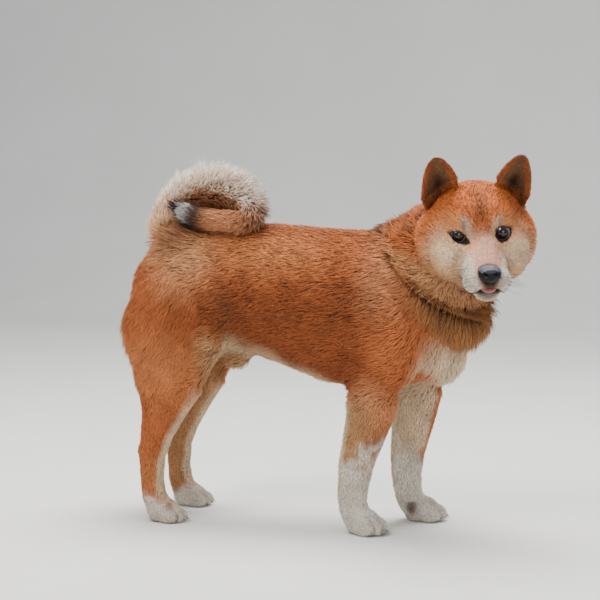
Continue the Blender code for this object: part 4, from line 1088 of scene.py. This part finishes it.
def grow_coat(mesh, weights, seed, other):
    """Work out every tuft of a skin: where it grows, how it bends and its colours."""
    draw = np.random.default_rng(seed)
    field = plant(mesh, weights, open_ground(mesh, weights, other), draw)
    root, normal, weight = field["root"], field["normal"], field["weights"]
    aim, t, near = coat_lie(root, normal, weight)
    p, q = root - SHIFT_ROW, in_head(root)
    tail = belongs(weight, "tail")
    nape = patch(p, NAPE, NAPE_SIZE) * (1.0 - belongs(weight, "face"))
    nest = patch(p, NEST, NEST_SIZE) * (1.0 - tail)
    length, width, rise, lay = body_shape(p, q, weight, nape, nest)
    upward = ((normal * tail_out(near)).sum(1) + 1.0) / 2.0
    tail_length, lean = tail_shape(t, upward, draw)
    length = length * (1.0 - tail) + tail_length * tail
    rise = rise * (1.0 - tail) + (92.0 - lean) * tail
    lay = lay * (1.0 - tail) + (84.0 - lean * 1.15) * tail
    length *= draw.uniform(0.72, 1.18, len(root))
    width *= draw.uniform(0.75, 1.25, len(root))
    aim, spine = bend_tufts(root, normal, aim, length, rise, lay, tail, draw)
    root_colour, tip_colour = tuft_colours(field, p, q, nape, t, upward, draw)
    field.update({"aim": aim, "width": width, "sink": np.minimum(0.0016, 0.25 * length), "spine": spine,
                  "root_colour": root_colour, "tip_colour": tip_colour})
    return field


def thin_field(field):
    """The same tufts with one bend less, for short hair."""
    made = dict(field)
    mid, high, tip = field["spine"]
    made["spine"] = [mid * 0.6 + high * 0.4, tip]
    return made


# Stage.

def add_area(name, place, aim_at, size, power, colour):
    lamp = bpy.data.lights.new(name, "AREA")
    lamp.shape = "DISK"
    lamp.size = size
    lamp.energy = power
    lamp.color = colour
    item = bpy.data.objects.new(name, lamp)
    item.location = place
    item.rotation_euler = (Vector(aim_at) - Vector(place)).to_track_quat("-Z", "Y").to_euler()
    bpy.context.scene.collection.objects.link(item)


def make_stage():
    """Camera at the photo's angle, soft lamps and a pale floor."""
    turn, rise = math.radians(VIEW_TURN), math.radians(VIEW_RISE)
    back = Vector((math.sin(turn) * math.cos(rise), -math.cos(turn) * math.cos(rise), math.sin(rise)))
    lens = bpy.data.cameras.new("camera")
    lens.lens, lens.sensor_width = LENS, SENSOR
    camera = bpy.data.objects.new("camera", lens)
    camera.location = Vector((SHIFT.x, SHIFT.y, VIEW_HEIGHT)) + back * VIEW_FAR
    camera.rotation_euler = back.to_track_quat("Z", "Y").to_euler()
    bpy.context.scene.collection.objects.link(camera)
    bpy.context.scene.camera = camera
    world = bpy.data.worlds.new("studio")
    bpy.context.scene.world = world
    world.use_nodes = True
    sky = world.node_tree.nodes["Background"]
    sky.inputs["Color"].default_value = SKY_COLOUR
    sky.inputs["Strength"].default_value = SKY_STRENGTH
    for name, values in LAMPS.items():
        add_area(name, *values)
    make_floor()


def make_floor():
    """A pale sheet that runs flat and then curves up behind the part."""
    work = bmesh.new()
    profile = [(FLOOR_NEAR, 0.0), (FLOOR_FAR, 0.0)]
    for k in range(1, 10):
        angle = math.radians(10.0 * k)
        profile.append((FLOOR_FAR + FLOOR_CURVE * math.sin(angle), FLOOR_CURVE * (1.0 - math.cos(angle))))
    profile.append((FLOOR_FAR + FLOOR_CURVE, WALL_TOP))
    ring = [work.verts.new((-FLOOR_HALF, y, z)) for y, z in profile]
    edges = [work.edges.new(pair) for pair in zip(ring, ring[1:])]
    made = bmesh.ops.extrude_edge_only(work, edges=edges)
    moved = [v for v in made["geom"] if isinstance(v, bmesh.types.BMVert)]
    bmesh.ops.translate(work, verts=moved, vec=(2.0 * FLOOR_HALF, 0.0, 0.0))
    bmesh.ops.recalc_face_normals(work, faces=work.faces)
    mesh = finished("floor", work)
    if mesh.polygons[0].normal.z < 0.0:
        mesh.flip_normals()
    item = bpy.data.objects.new("floor", mesh)
    bpy.context.scene.collection.objects.link(item)
    pale = material("floor_pale", (0.74, 0.74, 0.72), 0.85)
    add_tone(pale.node_tree, 3.0, (0.71, 0.71, 0.69), (0.76, 0.76, 0.745))
    mesh.materials.append(pale)


# Face and feet.

def smooth_loop(spots, steps):
    """A closed smooth curve through flat points."""
    count = len(spots)
    line = []
    for k in range(count):
        four = [spots[(k + n) % count] for n in (-1, 0, 1, 2)]
        for j in range(steps):
            line.append(tuple(spline(*values, j / steps) for values in zip(*four)))
    return line


def tube_mesh(spots, sizes, closed):
    """A round tube through places, thick as sizes say."""
    curve = bpy.data.curves.new("tube", "CURVE")
    curve.dimensions = "3D"
    curve.bevel_depth = 1.0
    curve.bevel_resolution = 3
    curve.use_fill_caps = True
    line = curve.splines.new("POLY")
    line.points.add(len(spots) - 1)
    for point, spot, size in zip(line.points, spots, sizes):
        point.co = (*spot, 1.0)
        point.radius = size
    line.use_cyclic_u = closed
    item = bpy.data.objects.new("tube", curve)
    bpy.context.scene.collection.objects.link(item)
    graph = bpy.context.evaluated_depsgraph_get()
    mesh = bpy.data.meshes.new_from_object(item.evaluated_get(graph))
    bpy.data.objects.remove(item)
    bpy.data.curves.remove(curve)
    mesh.shade_smooth()
    return mesh


def make_eye(word):
    """An eyeball with a raised clear front and its iris as bands about the gaze."""
    ball, (yaw, lift), _ = EYE_LOOKS[word]
    look = HEAD @ Matrix.Translation(ball) @ turned(yaw, "Z") @ turned(-lift, "Y") @ turned(90.0, "Y")
    work = bmesh.new()
    bmesh.ops.create_uvsphere(work, u_segments=64, v_segments=64, radius=BALL_RADIUS)
    angles = []
    for vert in work.verts:
        angle = math.acos(max(-1.0, min(1.0, vert.co.z / BALL_RADIUS)))
        angles.append(angle)
        vert.co *= 1.0 + CORNEA_RISE * max(0.0, 1.0 - (angle / CORNEA_ANGLE) ** 2) ** 1.5
    work.transform(look)
    mesh = finished("eye", work)
    layer = mesh.attributes.new("gaze", "FLOAT", "POINT")
    layer.data.foreach_set("value", np.array(angles))
    glass = material("eye_" + word, SOOT, 0.12, Specular_IOR_Level=0.2, Coat_Weight=0.7, Coat_Roughness=0.02)
    tree = glass.node_tree
    # The white of the eye is lilac grey, partly a painted reflection, and darkens towards the lids, partly
    # painted shadow of the lids and partly their dark lining.
    bands = ramp_node(tree, attribute_node(tree, "gaze").outputs["Fac"], (
        (0.00, (0.002, 0.002, 0.002)), (0.26, (0.003, 0.002, 0.002)), (0.31, (0.016, 0.008, 0.005)),
        (IRIS_ANGLE - 0.05, (0.024, 0.012, 0.008)), (IRIS_ANGLE + 0.02, (0.006, 0.005, 0.006)),
        (IRIS_ANGLE + 0.07, (0.016, 0.015, 0.020)), (0.70, (0.15, 0.145, 0.20)), (0.84, (0.11, 0.10, 0.14)),
        (1.00, (0.02, 0.016, 0.020))))
    fine = ramp_node(tree, noise_node(tree, 900.0).outputs["Fac"], ((0.3, (0.7,) * 3), (0.7, (1.15,) * 3)))
    set_base(tree, multiply_node(tree, bands.outputs["Color"], fine.outputs["Color"], 0.8))
    piece_from("eyeball_" + word, mesh, glass, ("eye_" + word,))


def make_lid_rim(word, finish_material, head_tree):
    """The dark wet edge of the lids, laid round the opening on whichever is further out, skin or ball."""
    ball, _, outline = EYE_LOOKS[word]
    spots, sizes = [], []
    back = HEAD.to_3x3() @ Vector((-1.0, 0.0, 0.0))
    middle_height = sum(spot[1] for spot in outline) / len(outline)
    line = smooth_loop([(y / 1000.0, z / 1000.0) for y, z in outline], 6)
    for y, z in line:
        hit = head_tree.ray_cast(HEAD @ Vector((0.08, y, z)), back)[0]
        off = (y - ball[1]) ** 2 + (z - ball[2]) ** 2
        ball_front = ball[0] + math.sqrt(max(BALL_RADIUS ** 2 - off, 0.0))
        x = max((HEAD.inverted() @ hit).x - 0.0004, ball_front - 0.0002)
        spots.append(HEAD @ Vector((x, y, z)))
        sizes.append(UPPER_RIM if z * 1000.0 > middle_height else LOWER_RIM)
    piece_from("lid_rim_" + word, tube_mesh(spots, sizes, True), finish_material)


def make_nose(finish_material):
    """Black leather with a painted sheen on top, where it faces the sky."""
    mesh = fused(merged_nodes(["nose"], 0.0), NOSE_VOXEL, 4)
    mesh.shade_smooth()
    normals = normals_of(mesh) @ HEAD_TURNS
    top = ease(0.25, 0.85, normals[:, 2]) * ease(-0.036, -0.024, in_head(points_of(mesh))[:, 2])
    paint(mesh, layered(NOSE_BLACK, [(NOSE_SHEEN, top)]))
    piece_from("nose_leather", mesh, finish_material, ("nose",))


def make_tongue():
    """The tongue's round front lying over the lower lip, with a groove along its middle."""
    work = bmesh.new()
    bmesh.ops.create_uvsphere(work, u_segments=48, v_segments=32, radius=1.0)
    for vert in work.verts:
        x, y, z = vert.co
        groove = -TONGUE_GROOVE * math.exp(-(y / 0.16) ** 2) * (z > 0.0)
        droop = -TONGUE_DROOP * max(0.0, x) ** 2 + TONGUE_CUP * y * y
        spot = [middle + half * value for middle, half, value in zip(TONGUE_MIDDLE, TONGUE_HALVES, vert.co)]
        vert.co = (spot[0], spot[1], spot[2] + droop + groove)
    work.transform(HEAD)
    mesh = finished("tongue", work)
    pink = material("tongue_pink", (0.62, 0.20, 0.20), 0.30, Coat_Weight=0.5, Coat_Roughness=0.15)
    tree = pink.node_tree
    add_tone(tree, 260.0, (0.60, 0.15, 0.16), (0.78, 0.29, 0.29))
    add_bump(tree, noise_node(tree, 2200.0).outputs["Fac"], 0.4, 0.0003)
    piece_from("tongue_tip", mesh, pink, ("tongue",))


def make_lips(finish_material):
    """The dark edge of the lips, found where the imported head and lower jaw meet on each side."""
    trees = {name: surface_tree(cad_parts[name].data) for name in ("head", "lower_jaw")}
    turn = HEAD.to_3x3()

    def seen(x, z, side):
        start = HEAD @ Vector((x, side * 0.09, z))
        way = turn @ Vector((0.0, -side, 0.0))
        best = None
        for name, tree in trees.items():
            hit = tree.ray_cast(start, way)
            if hit[0] is not None and (best is None or hit[3] < best[1]):
                best = (name, hit[3], hit[0])
        return best

    for side, word in ((-1.0, "right"), (1.0, "left")):
        spots = []
        for k in range(LIP_POINTS):
            x = MOUTH_CORNER[0] + 0.001 + (LIP_FRONT - MOUTH_CORNER[0]) * k / (LIP_POINTS - 1)
            high, low = LIP_SEARCH
            for _ in range(14):
                z = (high + low) / 2.0
                found = seen(x, z, side)
                if found and found[0] == "head":
                    high = z
                else:
                    low = z
            found = seen(x, high, side)
            if found:
                spots.append(found[2])
        bow = [math.sin(math.pi * (k + 1.0) / (len(spots) + 1.0)) for k in range(len(spots))]
        sizes = [LIP_THIN + LIP_BOW * rise for rise in bow]
        piece_from("lip_edge_" + word, tube_mesh(spots, sizes, False), finish_material)


def surface_spot(tree, x, y, z):
    """The place on the head's skin that a ray from far out reaches, and its normal."""
    aim = Vector((0.0, -y, 0.0)).normalized()
    hit = tree.ray_cast(HEAD @ Vector((x, y * 4.0, z)), HEAD.to_3x3() @ aim)
    return hit[0], hit[1]


def whisker_mesh(spot, way, length):
    """One bristle that droops back towards its tip."""
    droop = Vector((0.0, 0.0, -0.30)) + HEAD.to_3x3() @ Vector((-0.6, 0.0, 0.0))
    shares = [n / 8.0 for n in range(9)]
    spots = [spot + way * length * s + droop * length * s * s * 0.5 for s in shares]
    return tube_mesh(spots, [WHISKER_HALF * (1.0 - 0.85 * s) for s in shares], False)


def make_whiskers(tree):
    """Long fine bristles on the lip pads, each in a small dark root."""
    draw = np.random.default_rng(91)
    hairs = bmesh.new()
    dots = bmesh.new()
    for side in (-1.0, 1.0):
        for row in range(WHISKER_ROWS):
            for k in range(WHISKERS_IN_ROW):
                x = WHISKER_FRONT - WHISKER_BACK * k - 0.0015 * (row % 2) + draw.normal(0.0, 0.0009)
                z = WHISKER_TOP - WHISKER_DOWN * row + 0.0012 * k + draw.normal(0.0, 0.0007)
                spot, normal = surface_spot(tree, x, side * 0.02, z)
                if spot is None:
                    continue
                bmesh.ops.create_icosphere(dots, subdivisions=2, radius=draw.uniform(0.0004, 0.0007),
                                           matrix=Matrix.Translation(spot + normal * 0.0020))
                if draw.random() < 0.45 and k > 1:
                    continue
                length = draw.uniform(0.022, 0.048) * (0.7 + 0.12 * k)
                way = HEAD.to_3x3() @ Vector((-0.45 - 0.1 * k, side * 1.0, -0.30 + draw.uniform(-0.2, 0.15)))
                add_to(hairs, whisker_mesh(spot, way.normalized(), length))
    for name, work in (("whiskers", hairs), ("whisker_roots", dots)):
        bristle = material(name, (0.05, 0.04, 0.035), 0.45)
        add_tone(bristle.node_tree, 60.0, (0.02, 0.016, 0.014), (0.12, 0.10, 0.085), 0.35, 0.65)
        piece_from(name, finished(name, work), bristle)


def claw_mesh(place):
    """A cone bent down towards its point."""
    one = bmesh.new()
    bmesh.ops.create_cone(one, cap_ends=True, segments=14, radius1=CLAW_WIDTH, radius2=CLAW_POINT,
                          depth=CLAW_LENGTH)
    sides = [e for e in one.edges if abs(e.verts[0].co.z - e.verts[1].co.z) > 0.4 * CLAW_LENGTH]
    bmesh.ops.subdivide_edges(one, edges=sides, cuts=6)
    for vert in one.verts:
        s = vert.co.z / CLAW_LENGTH + 0.5
        vert.co.y *= 0.75
        vert.co.x += CLAW_BEND * s * s
    one.transform(place)
    return finished("claw", one, False)


def make_claws():
    """Four curved claws to a paw."""
    horn = material("claw_horn", (0.05, 0.04, 0.035), 0.35, Coat_Weight=0.3)
    add_tone(horn.node_tree, 300.0, (0.025, 0.020, 0.018), (0.16, 0.125, 0.10), 0.3, 0.75)
    whole = bmesh.new()
    for x, y, turn, size in PAW_SPOTS:
        paw = Matrix.Translation(Vector((x, y, 0.0)) + SHIFT) @ turned(turn, "Z") @ Matrix.Scale(size, 4)
        for toe_y, toe_x, spread in PAW_TOES:
            toe = Matrix.Translation((toe_x - 0.001, toe_y, CLAW_HEIGHT))
            add_to(whole, claw_mesh(paw @ toe @ turned(spread, "Z") @ turned(104.0, "Y")))
    bmesh.ops.recalc_face_normals(whole, faces=whole.faces)
    for vert in whole.verts:
        vert.co.z = max(vert.co.z, 0.0003)
    piece_from("claws", finished("claws", whole), horn)


# Put together.

def unwrap(mesh):
    """Lay the skin's own surface out flat as the map OFBake."""
    item = bpy.data.objects.new("unwrap", mesh)
    bpy.context.scene.collection.objects.link(item)
    mesh.uv_layers.new(name="OFBake")
    bpy.context.view_layer.objects.active = item
    item.select_set(True)
    bpy.ops.object.mode_set(mode="EDIT")
    bpy.ops.mesh.select_all(action="SELECT")
    bpy.ops.uv.smart_project(angle_limit=math.radians(66.0), island_margin=0.002)
    bpy.ops.object.mode_set(mode="OBJECT")
    bpy.data.objects.remove(item)


def fuse_skins():
    """The body's skin with the tail's core, and the head's with its lids opened, both before they sink."""
    body_work = merged_nodes(BODY_NODES, BODY_GROW)
    add_tail_core(body_work)
    head_work = merged_nodes(HEAD_NODES, HEAD_GROW)
    for side in (-1.0, 1.0):
        place = HEAD @ Matrix.Translation((EYE_BACK, side * EYE_SIDE, 0.0))
        bmesh.ops.create_icosphere(head_work, subdivisions=4, radius=LID_RADIUS, matrix=place)
    body, head = fused(body_work, BODY_VOXEL, 3), fused(head_work, HEAD_VOXEL, 2)
    open_eyes(head)
    return body, head


def finish_skin(mesh, names, rounds):
    """Sink a skin under its coat, unwrap and paint it; the region weights of its vertices."""
    weights, near = region_weights(mesh, names, rounds)
    sink_skin(mesh, weights, near)
    mesh.shade_smooth()
    unwrap(mesh)
    paint(mesh, coat_colours(points_of(mesh), normals_of(mesh), weights))
    return weights


def body_groups(field):
    """Which tufts of the body belong to which coat piece, with each piece's slot and whether it is long."""
    kind = field["weights"].argmax(1)
    tail = belongs(field["weights"], "tail") > 0.5
    x, y, z = (field["root"] - SHIFT_ROW).T

    def region(name):
        return (kind == REGIONS.index(name)) & ~tail

    flank = region("torso") & (z <= BACK_SPLIT)
    return {
        "coat_tail": (tail, "coat_tail", True),
        "coat_neck": (region("neck"), "coat_red", True),
        "coat_back": (region("torso") & (z > BACK_SPLIT), "coat_red", False),
        "coat_flank_left": (flank & (y > 0.0), "coat_red", False),
        "coat_flank_right": (flank & (y <= 0.0), "coat_red", False),
        "coat_thighs": (region("thigh"), "coat_red", False),
        "coat_forelegs": (region("leg") & (x > 0.0), "coat_leg", False),
        "coat_hindlegs": (region("leg") & (x <= 0.0), "coat_leg", False),
        "coat_paws": (region("paw"), "coat_pale", False),
    }


def head_groups(field):
    """The same for the head's tufts: ears, face and the skull behind."""
    ears = belongs(field["weights"], "ear") > 0.5
    front = in_head(field["root"])[:, 0] > FACE_SPLIT
    return {
        "coat_ears": (ears, "coat_red", False),
        "coat_face": (front & ~ears, "coat_red", False),
        "coat_skull": (~front & ~ears, "coat_red", False),
    }


def make_coat(field, groups, fur):
    """One piece of tufts for each group, with two bends where the hair is long."""
    for name, (chosen, slot, long_hair) in groups.items():
        part = part_field(field, chosen)
        if long_hair:
            mesh = tuft_mesh(name, part, LONG_STAGES)
        else:
            mesh = tuft_mesh(name, thin_field(part), SHORT_STAGES)
        piece_from(name, mesh, fur)


def make_skin(body, head, hide):
    """Body and head as the one skin that takes the place of the nodes of flesh."""
    whole = bmesh.new()
    whole.from_mesh(body)
    whole.from_mesh(head)
    piece_from("skin", finished("skin", whole, False), hide, BODY_NODES + HEAD_NODES + TAIL_NODES)


def main():
    make_stage()
    fur = coat_material("coat_hair", 1.0, 0.62, False)
    # The skin is painted darker than the hair: painted shade under the coat.
    hide = coat_material("skin_hide", 0.62, 0.85, True)
    body, head = fuse_skins()
    body_weights = finish_skin(body, BODY_NODES + TAIL_NODES, 12)
    head_weights = finish_skin(head, HEAD_NODES, 10)
    body_field = grow_coat(body, body_weights, 41, head)
    head_field = grow_coat(head, head_weights, 43, body)
    head_tree = surface_tree(head)
    make_whiskers(head_tree)
    make_skin(body, head, hide)
    make_coat(body_field, body_groups(body_field), fur)
    make_coat(head_field, head_groups(head_field), fur)
    leather = leather_material("nose_black", (0.7,) * 3, (1.3,) * 3, 900.0, 0.36, 0.0, True)
    rim = leather_material("rim_black", (0.008, 0.007, 0.008), (0.026, 0.022, 0.026), 1500.0, 0.40, 0.2)
    make_nose(leather)
    make_tongue()
    make_lips(rim)
    for word in EYE_LOOKS:
        make_eye(word)
        make_lid_rim(word, rim, head_tree)
    make_claws()


main()
